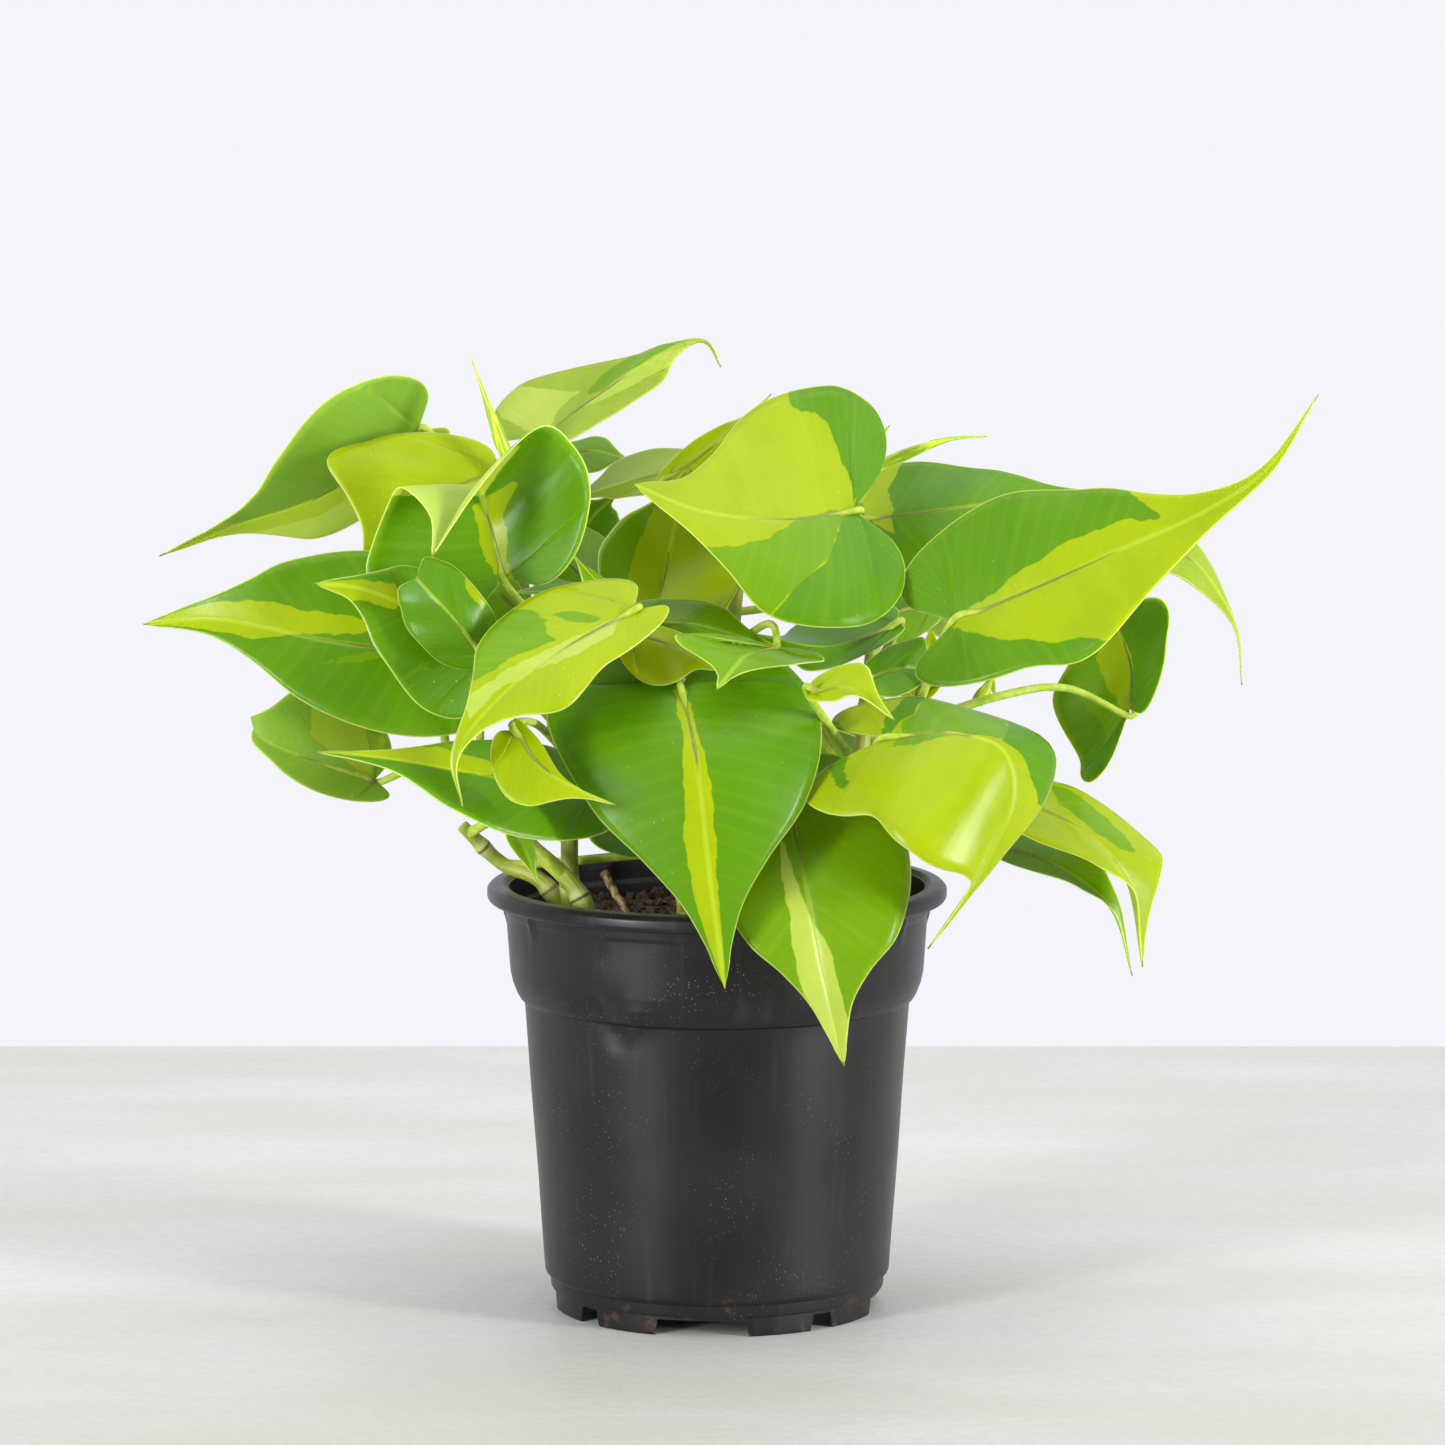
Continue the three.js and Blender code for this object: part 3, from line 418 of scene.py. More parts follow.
LEAVES = {
    "far_left_high": dict(tone="pale", stem="upright", at=0.97, bend=(20, 20), tail=0.22,
        stalk=[(-70, 6, 222)], rib=[(-78, 8, 229), (-102, 4, 213), (-126, 0, 205), (-144, -8, 198)],
        left=[(-99, -14, 239)], right=[(-86, 14, 210)]),
    "left_lime": dict(tone="lime", stem="upright", at=0.9, bend=(-10, -10), tail=0.1,
        rib=[(-56, -3, 220), (-76, -14, 212), (-90, -24, 196)], left=[(-60, -18, 203)],
        right=[(-88, -8, 228), (-100, -16, 222)]),
    "left_folded": dict(tone="dark", stem="upright", at=0.72, bend=(20, 20), tail=0.12,
        stalk=[(-46, -36, 184)],
        rib=[(-54, -38, 196), (-58, -34, 210), (-61, -42, 219), (-71, -66, 204)],
        left=[(-88, -44, 197), (-80, -52, 218)], right=[(-33, -46, 222)]),
    "far_left": dict(tone="dark", stem="left", at=0.9, bend=(-15, -15), tail=0.12,
        stalk=[(-70, -28, 160)],
        rib=[(-67, -34, 175), (-98, -34, 179), (-126, -30, 184), (-147, -22, 182)],
        left=[(-79, -42, 156)], right=[(-84, -28, 201)]),
    "left_round": dict(blunt=True, tone="dark", stem="upright", at=0.55, bend=(10, 10), tail=0.02,
        stalk=[(-50, -40, 168)], rib=[(-59, -60, 179), (-67, -66, 190), (-75, -62, 198)],
        left=[(-73, -60, 180), (-79, -60, 189)], right=[(-58, -58, 192), (-68, -58, 202)]),
    "left_dark": dict(tone="dark", stem="left", at=0.75, bend=(10, 10), tail=0.1,
        stalk=[(-60, -44, 154)],
        rib=[(-61, -50, 175), (-72, -52, 186), (-87, -54, 194), (-101, -54, 196)],
        left=[(-76, -58, 167)], right=[(-67, -45, 193)]),
    "low_left": dict(tone="pale", stem="left", at=1, bend=(15, 15), tail=0.05,
        rib=[(-88, -24, 142), (-103, -34, 148), (-116, -36, 154), (-118, -26, 157)],
        left=[(-97, -20, 165)], right=[(-98, -34, 139)]),
    "front_left_lime": dict(tone="lime", stem="front", at=0.85, bend=(-15, -15), tail=0.22,
        stalk=[(-28, -42, 182)],
        rib=[(-21, -62, 190), (-39, -72, 181), (-54, -80, 170), (-64, -84, 157), (-63, -86, 144)],
        left=[(-26, -74, 179), (-40, -84, 167)], right=[(-47, -58, 192)]),
    "low_left_dark": dict(tone="dark", stem="left_low", at=0.95, bend=(-10, -10), tail=0.15,
        stalk=[(-48, -30, 137)],
        rib=[(-32, -45, 141), (-55, -58, 147), (-79, -62, 152), (-101, -66, 155)],
        left=[(-47, -70, 134)], right=[(-45, -40, 153)]),
    "front_left_curled": dict(tone="lime", stem="upright", at=0.5, bend=(10, 10), tail=0.2,
        stalk=[(-46, -50, 160)],
        rib=[(-50, -72, 161), (-44, -77, 153), (-35, -81, 148), (-25, -84, 144)],
        left=[(-43, -74, 157)], right=[(-54, -79, 148)]),
    "front_centre": dict(tone="dark", stem="front", at=0.9, bend=(-25, -25), tail=0.15,
        rib=[(-9, -55, 170), (-5, -70, 153), (-2, -76, 127), (2, -72, 96)], left=[(25, -50, 163)],
        right=[(-42, -52, 161)]),
    "front_low": dict(tone="mid", stem="front", at=0.6, bend=(-20, -20), tail=0.12,
        stalk=[(8, -40, 148)], rib=[(18, -48, 145), (22, -62, 122), (27, -68, 97), (32, -66, 75)],
        left=[(48, -55, 128)], right=[(-1, -58, 126)]),
    "front_right_lime": dict(tone="lime", stem="right", at=0.8, bend=(-15, -15), tail=0.2,
        stalk=[(40, -44, 151)],
        rib=[(43, -56, 157), (57, -62, 159), (71, -66, 156), (74, -68, 143), (68, -70, 129),
             (62, -70, 119), (53, -66, 105)],
        left=[(48, -44, 166), (85, -54, 151)], right=[(36, -76, 141), (52, -84, 129)]),
    "crown_lime": dict(tone="lime", stem="centre", at=1, bend=(-25, 10), tail=0.1,
        stalk=[(24, -6, 202)], rib=[(35, -22, 211), (16, -34, 210), (-4, -42, 213), (-21, -46, 220)],
        left=[(36, -48, 185), (10, -52, 189)], right=[(28, 0, 241), (7, -12, 235)]),
    "crown_pale": dict(tone="pale", stem="centre", at=0.92, bend=(10, 10), tail=0.1,
        stalk=[(8, 20, 208)], rib=[(-4, 22, 218), (-20, 18, 216), (-41, 8, 210)], left=[(-15, 14, 212)],
        right=[(-16, 32, 222)]),
    "crown_narrow": dict(tone="lime", stem="centre", at=0.97, bend=(20, 20), tail=0.15,
        stalk=[(-6, 8, 208)], rib=[(-13, 12, 216), (-1, 8, 225), (14, 4, 239)], left=[(-6, 14, 226)],
        right=[(-1, 0, 217)]),
    "crown_left": dict(tone="pale", stem="upright", at=1, bend=(10, 10), tail=0.2,
        rib=[(-45, 10, 228), (-31, 14, 238), (-16, 14, 248), (-4, 10, 252), (1, 4, 246)],
        left=[(-52, 32, 239), (-20, 20, 249)], right=[(-32, 4, 231), (-14, 8, 242)]),
    "crown_olive": dict(tone="mid", stem="centre", at=0.8, bend=(0, 0), tail=0.1,
        stalk=[(-20, 22, 196), (-44, 34, 209)], rib=[(-41, 38, 220), (-32, 40, 221), (-22, 38, 218)],
        left=[(-35, 44, 224)], right=[(-33, 34, 216)]),
    "centre_yellow": dict(tone="lime", stem="centre", at=0.6, bend=(30, 30), tail=0.05,
        rib=[(-16, -26, 181), (-13, -10, 197), (-7, -14, 221)], left=[(-30, -26, 199)],
        right=[(6, -24, 194)]),
    "centre_sliver": dict(tone="mid", stem="upright", at=0.75, bend=(20, 20), tail=0.1,
        stalk=[(-37, -29, 182)], rib=[(-23, -42, 188), (-30, -43, 195), (-37, -44, 203)],
        left=[(-30, -47, 191)], right=[(-27, -37, 194)]),
    "inner_lime": dict(tone="mid", stem="upright", at=0.8, bend=(0, 0), tail=0.05,
        stalk=[(-34, -14, 182)], rib=[(-32, -8, 191), (-41, -4, 198), (-50, 2, 206)],
        left=[(-44, -8, 188)], right=[(-30, 4, 202)]),
    "inner_dark": dict(tone="dark", stem="centre", at=0.6, bend=(0, 0), tail=0.05,
        stalk=[(-20, 8, 180)], rib=[(-36, 18, 192), (-34, 20, 203), (-27, 16, 211)],
        left=[(-43, 22, 204)], right=[(-25, 14, 200)]),
    "inner_left": dict(tone="mid", stem="upright", at=0.8, bend=(0, 0), tail=0.05,
        rib=[(-50, -21, 184), (-57, -21, 191), (-64, -21, 196)], left=[(-61, -25, 185)],
        right=[(-54, -16, 196)]),
    "inner_low": dict(tone="dark", stem="upright", at=0.66, bend=(0, 0), tail=0.05,
        rib=[(-28, -25, 189), (-39, -28, 191), (-51, -30, 191)], left=[(-36, -32, 188)],
        right=[(-38, -20, 193)]),
    "centre_dark": dict(tone="mid", stem="front", at=0.98, bend=(10, 10), tail=0.1,
        rib=[(-20, -41, 185), (-4, -44, 184), (18, -42, 177)], left=[(-9, -36, 190)],
        right=[(-4, -47, 180)]),
    "centre_lime": dict(tone="lime", stem="front", at=0.8, bend=(10, 10), tail=0.1,
        rib=[(-22, -50, 183), (-11, -52, 180), (0, -54, 174)], left=[(-13, -47, 184)],
        right=[(-17, -57, 171)]),
    "centre_edge": dict(tone="mid", stem="front", at=0.95, bend=(20, 20), tail=0.2,
        stalk=[(12, -41, 184)], rib=[(14, -48, 179), (7, -58, 178), (0, -69, 171)],
        left=[(26, -52, 176)], right=[(-9, -62, 184)]),
    "right_blue": dict(tone="dark", stem="right_back", at=0.7, bend=(10, 10), tail=0.05,
        rib=[(46, -14, 181), (29, -28, 177), (9, -36, 181)], left=[(33, -30, 173)],
        right=[(28, -8, 185)]),
    "right_high": dict(tone="dark", stem="right_back", at=1, bend=(-10, -10), tail=0.1,
        rib=[(37, 15, 205), (55, 8, 208), (79, 8, 211), (103, 12, 212)], left=[(48, 28, 218)],
        right=[(49, 0, 194)]),
    "far_right": dict(tone="lime", stem="right", at=0.9, bend=(-15, -15), tail=0.28,
        stalk=[(51, -36, 162)],
        rib=[(61, -40, 185), (79, -44, 193), (102, -48, 204), (121, -52, 213), (138, -56, 225),
             (150, -60, 244)],
        left=[(69, -28, 214), (96, -36, 218)], right=[(76, -54, 174), (99, -58, 182)]),
    "right_pendant": dict(tone="pale", stem="right_back", at=0.95, bend=(20, 20), tail=0.3,
        stalk=[(80, 18, 188)], rib=[(113, 14, 200), (126, 16, 193), (136, 18, 177), (138, 20, 161)],
        left=[(119, 20, 202)], right=[(113, 8, 194)]),
    "right_hanging": dict(tone="dark", stem="right", at=1, bend=(10, 10), tail=0.05,
        stalk=[(72, -20, 163), (90, -10, 164)], rib=[(107, -5, 158), (107, 0, 171), (99, 12, 187)],
        left=[(95, 4, 142), (88, 10, 161)], right=[(116, -10, 176), (114, -6, 187)]),
    "low_right": dict(tone="lime", stem="right", at=0.7, bend=(-10, -10), tail=0.15,
        stalk=[(58, -26, 144)], rib=[(75, -30, 138), (91, -34, 132), (104, -36, 119), (109, -34, 95)],
        left=[(90, -20, 140), (114, -24, 123)], right=[(86, -44, 127)]),
    "low_right_narrow": dict(tone="mid", stem="right", at=0.6, bend=(10, 10), tail=0.2,
        stalk=[(54, -18, 132)], rib=[(70, -18, 125), (86, -22, 120), (101, -24, 109), (107, -24, 91)],
        left=[(86, -14, 126)], right=[(80, -26, 119)]),
    "right_curled": dict(tone="lime", stem="right", at=0.75, bend=(15, 15), tail=0.1,
        rib=[(24, -66, 170), (33, -76, 172), (44, -82, 165)], left=[(33, -66, 177)],
        right=[(29, -76, 169)]),
    "right_shaded": dict(tone="dark", stem="right", at=0.95, bend=(0, 0), tail=0.05,
        stalk=[(46, -28, 159)], rib=[(38, -38, 170), (47, -34, 172), (56, -28, 170)],
        left=[(45, -28, 177), (53, -28, 179)], right=[(47, -40, 166)]),
    "right_green": dict(tone="mid", stem="right_back", at=0.8, bend=(10, 10), tail=0.15,
        stalk=[(56, 14, 178)], rib=[(56, 8, 184), (44, 3, 181), (30, -8, 168)], left=[(48, 6, 174)],
        right=[(44, 14, 186)]),
    "right_yellow": dict(tone="lime", stem="right_back", at=0.5, bend=(20, 20), tail=0.05,
        rib=[(52, 14, 158), (55, 14, 167), (56, 16, 176)], left=[(48, 14, 167)], right=[(61, 12, 166)]),
    "low_shaded": dict(tone="dark", stem="left_low", at=0.7, bend=(0, 0), tail=0.1,
        rib=[(-17, -20, 123), (-26, -26, 129), (-36, -32, 132)], left=[(-30, -34, 126)],
        right=[(-24, -20, 132)]),
    "low_sliver": dict(tone="mid", stem="left", at=0.4, bend=(0, 0), tail=0.1,
        rib=[(-51, -44, 131), (-48, -50, 126), (-45, -54, 119)], left=[(-47, -48, 130)],
        right=[(-53, -46, 129)]),
    "back_high": dict(tone="dark", stem="back", at=1, bend=(-20, -20), tail=0.15,
        rib=[(-2, 54, 192), (-8, 68, 192), (-14, 80, 180), (-16, 84, 162)], left=[(-30, 58, 184)],
        right=[(24, 60, 188)]),
    "back_left": dict(tone="mid", stem="back", at=0.8, bend=(-20, -20), tail=0.12,
        stalk=[(-24, 42, 176)], rib=[(-38, 46, 180), (-58, 60, 176), (-76, 72, 164), (-84, 76, 148)],
        left=[(-58, 28, 170)], right=[(-30, 70, 170)]),
    "back_right": dict(tone="lime", stem="back", at=0.9, bend=(-20, -20), tail=0.12,
        stalk=[(20, 44, 180)], rib=[(34, 50, 186), (52, 64, 180), (68, 76, 166), (76, 82, 150)],
        left=[(28, 76, 174)], right=[(62, 40, 178)]),
    "back_low_left": dict(tone="lime", stem="back", at=0.5, bend=(-15, -15), tail=0.12,
        rib=[(-18, 54, 148), (-30, 70, 142), (-38, 80, 126), (-42, 84, 106)], left=[(-46, 50, 134)],
        right=[(-4, 76, 136)]),
    "back_low_right": dict(tone="dark", stem="back", at=0.6, bend=(-15, -15), tail=0.12,
        stalk=[(10, 48, 150)], rib=[(18, 54, 150), (28, 70, 144), (34, 80, 128), (38, 84, 108)],
        left=[(4, 72, 136)], right=[(50, 58, 138)]),
}
print(len(STEMS), "stems carry", len(LEAVES), "leaves")

# %% [markdown]
# ## The blade's formula
# The grid's rows follow the side veins, so a vein's relief is only a change from row to row.
# The columns run from the left margin over the midrib to the right margin, and stand closer
# together at the midrib, where the blade has a narrow furrow.

# %% Work out a blade
HEART = [(0, 0), (-0.07, 0.12), (-0.17, 0.33), (-0.19, 0.57), (-0.12, 0.82), (0.05, 1),
         (0.27, 0.98), (0.5, 0.77), (0.68, 0.46), (0.84, 0.23), (1, 0.1)]
WIDEST, MIDDLE, MIDDLE_WIDTH = 0.12, 0.5, 0.77
ROWS, COLUMNS = 92, 33
VEINS = 8


def smoothstep(x, low, high):
    """Goes from 0 to 1 with level ends while x goes from low to high."""
    u = np.clip((x - low) / (high - low), 0, 1)
    return u * u * (3 - 2 * u)


def blade(leaf):
    """Points of a leaf's middle surface, and each point's place on it.

    A row at share s ends at the heart outline's point (along, out). It starts on the midrib
    at 0.02 s + along^1.4, and at v of its way out it has moved towards `along` by v^1.3. There
    it goes out by v times `out` of the half width, along an arc that turns by the bend, towards
    the margin point at the widest place, or further on towards the one at the middle."""
    rib = curve_through(leaf["rib"])
    rib = rib[np.r_[True, np.linalg.norm(np.diff(rib, axis=0), axis=1) > 1e-9]]
    length = distances(rib)[-1]
    body = length * (1 - leaf["tail"])
    tip = 1 / (1 - leaf["tail"])
    outline = HEART[:8] + [(0.7, 0.62), (0.88, 0.42)] if leaf.get("blunt") else HEART
    heart = curve_through([*outline, ((1 + tip) / 2, 0.055), (tip, 0)])
    share = np.linspace(0.006, 0.998, ROWS)
    place = share * (len(heart) - 1)
    along, out = (np.interp(place, np.arange(len(heart)), heart[:, k])[:, None] for k in (0, 1))
    t = np.linspace(-1, 1, COLUMNS)
    v = np.sign(t) * (0.5 * abs(t) + 0.5 * t ** 2)
    points = np.empty((ROWS, COLUMNS, 3))
    x_share = np.empty((ROWS, COLUMNS))
    for side, margin in enumerate((leaf["left"], leaf["right"])):
        half = v >= 0 if side else v < 0
        reach = abs(v[half])[None, :]
        widest = np.array(margin[0]) - at_distance(rib, np.array(WIDEST * body))
        middle = widest
        if len(margin) > 1:
            middle = (np.array(margin[1]) - at_distance(rib, np.array(MIDDLE * body))) / MIDDLE_WIDTH
        bend = math.radians(leaf["bend"][side]) or 1e-3
        root = body * (0.02 * share[:, None] + np.maximum(along, 0) ** 1.4 / np.maximum(along, 1) ** 0.4)
        x = root + (along * body - root) * reach ** 1.3
        way = widest + (middle - widest) * smoothstep(x / body, WIDEST, MIDDLE)[..., None]
        width = np.linalg.norm(way, axis=-1) * (bend / 2) / math.sin(bend / 2)
        way = unit(way)
        turn = bend / width
        angle = turn * reach * out * width - bend / 2
        lateral = (np.sin(angle) + math.sin(bend / 2)) / turn
        lift = (math.cos(bend / 2) - np.cos(angle)) / turn
        upward = unit(np.cross(way, direction_at(rib, x))) * (1 if side else -1)
        points[:, half] = at_distance(rib, x) + way * lateral[..., None] + upward * lift[..., None]
        x_share[:, half] = x / body
    return points, x_share, v * out, share, v, rib, body


def surface_normals(grid):
    """The upward direction at each point: the cross product of the steps across and along."""
    across = np.gradient(grid, axis=1)
    along = np.gradient(grid, axis=0)
    return unit(np.cross(across, along))


sample = blade(LEAVES["front_centre"])
print("the big front leaf's blade is", round(sample[6]), "mm long without its tip")

# %% [markdown]
# ## Painting the variegation
# This kind has lime and pale splashes that start at the midrib and follow the side veins. Each
# splash is an outline in the leaf's own terms: how far along the blade, and how far out from
# the midrib, left being negative. What is stored on the mesh isn't the colour but how many
# millimetres each point lies inside the splash, so the shader can draw a crisp, ragged edge.

# %% Splashes
SPLASHES = {
    "far_left_high": [
        ("mid", [(-0.3, 0.0), (0.3, -0.02), (0.9, -0.03), (1.0, -0.4), (0.6, -1.2), (-0.2, -1.3)]),
        ("lime", [(-0.1, 0.0), (0.5, -0.02), (1.2, -0.03), (1.1, 0.06), (0.8, 0.22), (0.5, 0.32),
            (0.2, 0.3), (-0.1, 0.2)]),
        ("pale", [(-0.1, 0.2), (0.2, 0.3), (0.5, 0.32), (0.8, 0.22), (1, 0.3), (0.6, 1.2), (-0.2, 1.2)]),
    ],
    "left_folded": [
        ("lime", [(0.38, -0.12), (0.29, -0.09), (0.21, -0.12), (0.11, -0.1), (0.01, -0.05),
            (-0.04, -0.07), (-0.06, -0.1), (-0.07, 0.11), (0.02, 0.05), (0.11, 0.08), (0.19, 0.15),
            (0.26, 0.14), (0.35, 0.37), (0.4, 0.06)]),
        ("pale", [(0.47, -0.95), (0.43, 0), (0.5, 0.5), (1.2, 0.3), (1.2, -0.5)]),
    ],
    "left_round": [
        ("lime", [(0.1, 1.3), (0.12, 0.8), (0.3, 0.75), (0.35, 1.3)]),
    ],
    "far_left": [
        ("lime", [(1.14, -0), (0.66, 0.27), (0.51, 0.29), (0.21, 0.27), (0.18, 0.2), (0.54, 0.01),
            (0.72, -0.19), (0.85, -0.15)]),
        ("mid", [(0.18, 0.05), (0.39, -0.18), (0.47, -0.32), (0.37, -0.25), (0.18, -0.05)]),
    ],
    "left_dark": [
        ("lime", [(1.1, 0.01), (0.89, 0.11), (0.6, 0.3), (0.57, -0.13), (0.7, -0.16),
            (0.84, -0.25)]),
    ],
    "low_left": [
        ("mid", [(-0.4, -1.5), (1.3, -1.5), (1.3, 1.5), (-0.4, 1.5)]),
        ("lime", [(0.39, -1.07), (0.39, -0.57), (0.44, -0.3), (0.05, 0), (-0.13, -0.46),
            (-0.19, -0.53), (0.11, -0.61), (0.23, -0.76)]),
    ],
    "front_left_lime": [
        ("mid", [(0.48, 1), (0.34, 1.17), (0.26, 1.24), (0.19, 0.83), (0.24, 0.48), (0.33, 0.33),
            (0.35, 0.17), (0.57, 0.34), (0.69, 0.35), (0.72, 0.49)]),
        ("mid", [(0.17, 0.6), (0.13, 0.4), (0.12, 0.13), (0.18, 0.12), (0.21, 0.34)]),
        ("pale", [(0.89, 0.09), (0.7, 0.07), (0.51, -0.06), (0.3, -0.27), (0.11, -0.41), (0.08, 0),
            (0.15, 0.05), (0.36, 0.08), (0.53, 0.2), (0.68, 0.23), (0.8, 0.33)]),
    ],
    "low_left_dark": [
        ("lime", [(1.16, -0.01), (1.02, 0.06), (0.87, 0.21), (0.75, 0.41), (0.58, 0.46),
            (0.43, 0.35), (0.44, 0.04), (0.7, -0.05)]),
        ("mid", [(0.8, 0.33), (0.6, 0.75), (0.48, 0.61), (0.58, 0.46), (0.75, 0.41)]),
    ],
    "front_centre": [
        ("lime", [(0, -0.02), (0.15, -0.04), (0.3, -0.06), (0.45, -0.08), (0.6, -0.08), (0.75, -0.05),
            (1, -0.03), (1.18, 0), (1, 0.07), (0.85, 0.12), (0.7, 0.15), (0.55, 0.14), (0.4, 0.11),
            (0.25, 0.08), (0.1, 0.06), (0, 0.04)]),
    ],
    "front_low": [
        ("pale", [(0.17, 0.22), (0.22, 0.14), (0.34, 0.13), (0.56, 0), (0.66, -0.12), (0.92, -0.15),
            (1.11, -0.02), (1.12, 0.01), (0.75, 0.29)]),
        ("mid", [(0.12, -0.03), (0.2, -0.22), (0.22, -0.41), (0.38, -0.58), (0.44, -0.56),
            (0.5, -0.39), (0.58, -0.43), (0.6, -0.31), (0.58, -0.14), (0.47, -0.1), (0.38, -0.02),
            (0.26, 0.02)]),
    ],
    "front_right_lime": [
        ("dark", [(-0.03, 0.05), (0.01, -0.39), (0.09, -0.86), (0.19, -1.26), (0.47, -1.01),
            (0.67, -0.6), (0.65, -0.39), (0.4, -0.14), (0.32, -1.12), (0.27, -1.23), (0.19, -1.1),
            (0.13, -0.46), (0.07, -0.33)]),
        ("mid", [(0.07, -0.33), (0.13, -0.46), (0.19, -1.1), (0.27, -1.23), (0.32, -1.12),
            (0.4, -0.14), (0.16, 0.15), (0.05, 0.15)]),
        ("dark", [(-0.19, -0.59), (-0.17, -0.59), (-0.16, -0.31), (-0.08, 0.42), (0.04, 0.75),
            (-0.05, 0.64), (-0.16, 0.31)]),
    ],
    "crown_lime": [
        ("dark", [(0.28, 0.82), (0.34, 1.4), (-0.4, 1.4), (-0.4, 0.2), (-0.08, 0.15), (-0.01, 0.02),
            (0, 0.26), (0.11, 0.71), (0.19, 0.83)]),
        ("mid", [(0.79, -0.34), (0.47, -0.19), (0.29, 0.02), (0.1, 0.03), (0.08, -0.05),
            (0.22, -0.44), (0.34, -0.58), (0.48, -0.91), (0.58, -0.8)]),
        ("dark", [(0.07, -0.03), (-0.4, -0.1), (-0.4, -1.4), (0.45, -1.4), (0.41, -1.09),
            (0.58, -0.8), (0.48, -0.91), (0.34, -0.58), (0.22, -0.44)]),
    ],
    "far_right": [
        ("dark", [(-0.4, -0.05), (-0.4, -1.4), (0.4, -1.4), (0.37, -1.14), (0.55, -0.84), (0.72, -0.14),
            (0.64, -0.2), (0.56, -0.32), (0.51, -0.29), (0.44, -0.32), (0.36, -0.31), (0.3, -0.25),
            (0.19, -0.19), (0.15, -0.12), (-0.02, -0.04)]),
        ("dark", [(-0.4, -0.05), (-0.03, 0.05), (0.03, 0.3), (0.13, 0.58), (0.27, 0.7), (0.43, 0.68),
            (0.55, 0.88), (0.42, 1.4), (-0.4, 1.4)]),
    ],
    "right_high": [
        ("lime", [(-0.01, -1.2), (0.14, -1.24), (0.11, -0.51), (0.16, -0.1), (0.13, 0.35),
            (0.06, 0.08), (-0.02, -0.38)]),
    ],
    "right_hanging": [
        ("lime", [(0.66, -0.25), (0.62, -0.02), (0.45, 0.04), (0.2, 0.05), (0.0, 0.04), (0.06, -0.2),
            (0.31, -0.32), (0.5, -0.3)]),
        ("mid", [(0.75, -0.6), (0.7, 0), (0, 0), (0, -0.5), (0.3, -0.62)]),
    ],
    "low_right": [
        ("mid", [(0.05, -0.83), (0.17, -0.86), (0.27, -0.74), (0.38, -0.55), (0.54, -0.34),
            (0.53, -0.18), (0.39, -0.12), (0.2, -0.29)]),
    ],
    "centre_yellow": [
        ("mid", [(0.34, -1.17), (0.51, -0.95), (0.81, -0.31), (0.61, -0.38), (0.46, -0.46),
            (0.25, -0.48), (0.05, -0.43), (-0.03, -0.75), (0.07, -1.26)]),
    ],
    "crown_left": [
        ("mid", [(0.31, -0.2), (0.39, -0.65), (0.5, -0.96), (0.9, -0.13), (0.8, -0.07),
            (0.65, -0.03), (0.49, -0.11), (0.38, -0.04)]),
        ("pale", [(-0.05, -1.15), (0.03, -1.24), (0.18, -0.78), (0.28, -0.34), (0.16, -0.22),
            (-0.02, 0.11), (-0.1, -0.72)]),
        ("pale", [(0.32, 0.22), (0.5, 0.38), (0.7, 0.49), (0.91, 0.16), (0.81, 0.01), (0.65, 0.02),
            (0.5, -0.05), (0.38, 0.02), (0.23, 0.07)]),
    ],
}


def inside_distance(x, y, outline):
    """How far each point (x, y) lies inside a closed outline, and less than 0 outside it: the
    smallest distance to an edge, with its sign from how often a line to the right crosses it."""
    a = np.array(outline, float)
    b = np.roll(a, -1, axis=0)
    px, py = x[..., None], y[..., None]
    edge = b - a
    square = np.maximum((edge ** 2).sum(1), 1e-9)
    u = np.clip(((px - a[:, 0]) * edge[:, 0] + (py - a[:, 1]) * edge[:, 1]) / square, 0, 1)
    gap = np.hypot(px - a[:, 0] - u * edge[:, 0], py - a[:, 1] - u * edge[:, 1]).min(-1)
    spans = (a[:, 1] > py) != (b[:, 1] > py)
    height = np.where(abs(edge[:, 1]) < 1e-9, 1e-9, edge[:, 1])
    crossed = spans & (px < a[:, 0] + (py - a[:, 1]) * edge[:, 0] / height)
    return np.where(crossed.sum(-1) % 2 == 1, gap, -gap)


def plain_splash(tone, seed):
    """Splashes for a leaf that has none of its own: a ragged band beside the midrib, and for a
    light leaf a darker field along one margin."""
    rng = np.random.default_rng(seed)
    side = rng.choice([-1, 1])
    steps = np.linspace(0.02, 1.1, 7)
    inner = [(s, -side * rng.uniform(0.0, 0.08)) for s in steps]
    reach = rng.uniform(0.1, 0.34, 7) * np.sin(np.linspace(0.5, 2.9, 7))
    outer = [(s - 0.03, side * r) for s, r in zip(steps, reach)]
    band = inner + outer[::-1]
    field = [(-0.1, side * 1.4), (0.5, side * 1.3), (0.8, side * 0.6), (0.55, side * 0.4),
             (0.3, side * rng.uniform(0.3, 0.6)), (0.1, side * 0.35), (0, side * 0.1)]
    if tone == "dark":
        return [("lime", band)]
    if tone == "mid":
        return [("lime", band), ("dark", field)]
    return [("dark", field)] if tone == "lime" else [("mid", field)]


def paint(name, leaf, x_share, out, body, half_width):
    """For each tone, how many millimetres each point lies inside its splashes."""
    fields = {tone: np.full(x_share.shape, -20.0) for tone in ("dark", "mid", "lime", "pale")}
    splashes = SPLASHES.get(name, [])
    if name.startswith("back"):
        splashes = plain_splash(leaf["tone"], len(name) * 7)
    for tone, outline in splashes:
        scaled = [(a * body, b * half_width) for a, b in outline]
        found = inside_distance(x_share * body, out * half_width, scaled)
        fields[tone] = np.maximum(fields[tone], found)
    return fields


print(len(SPLASHES), "leaves have splashes of their own")

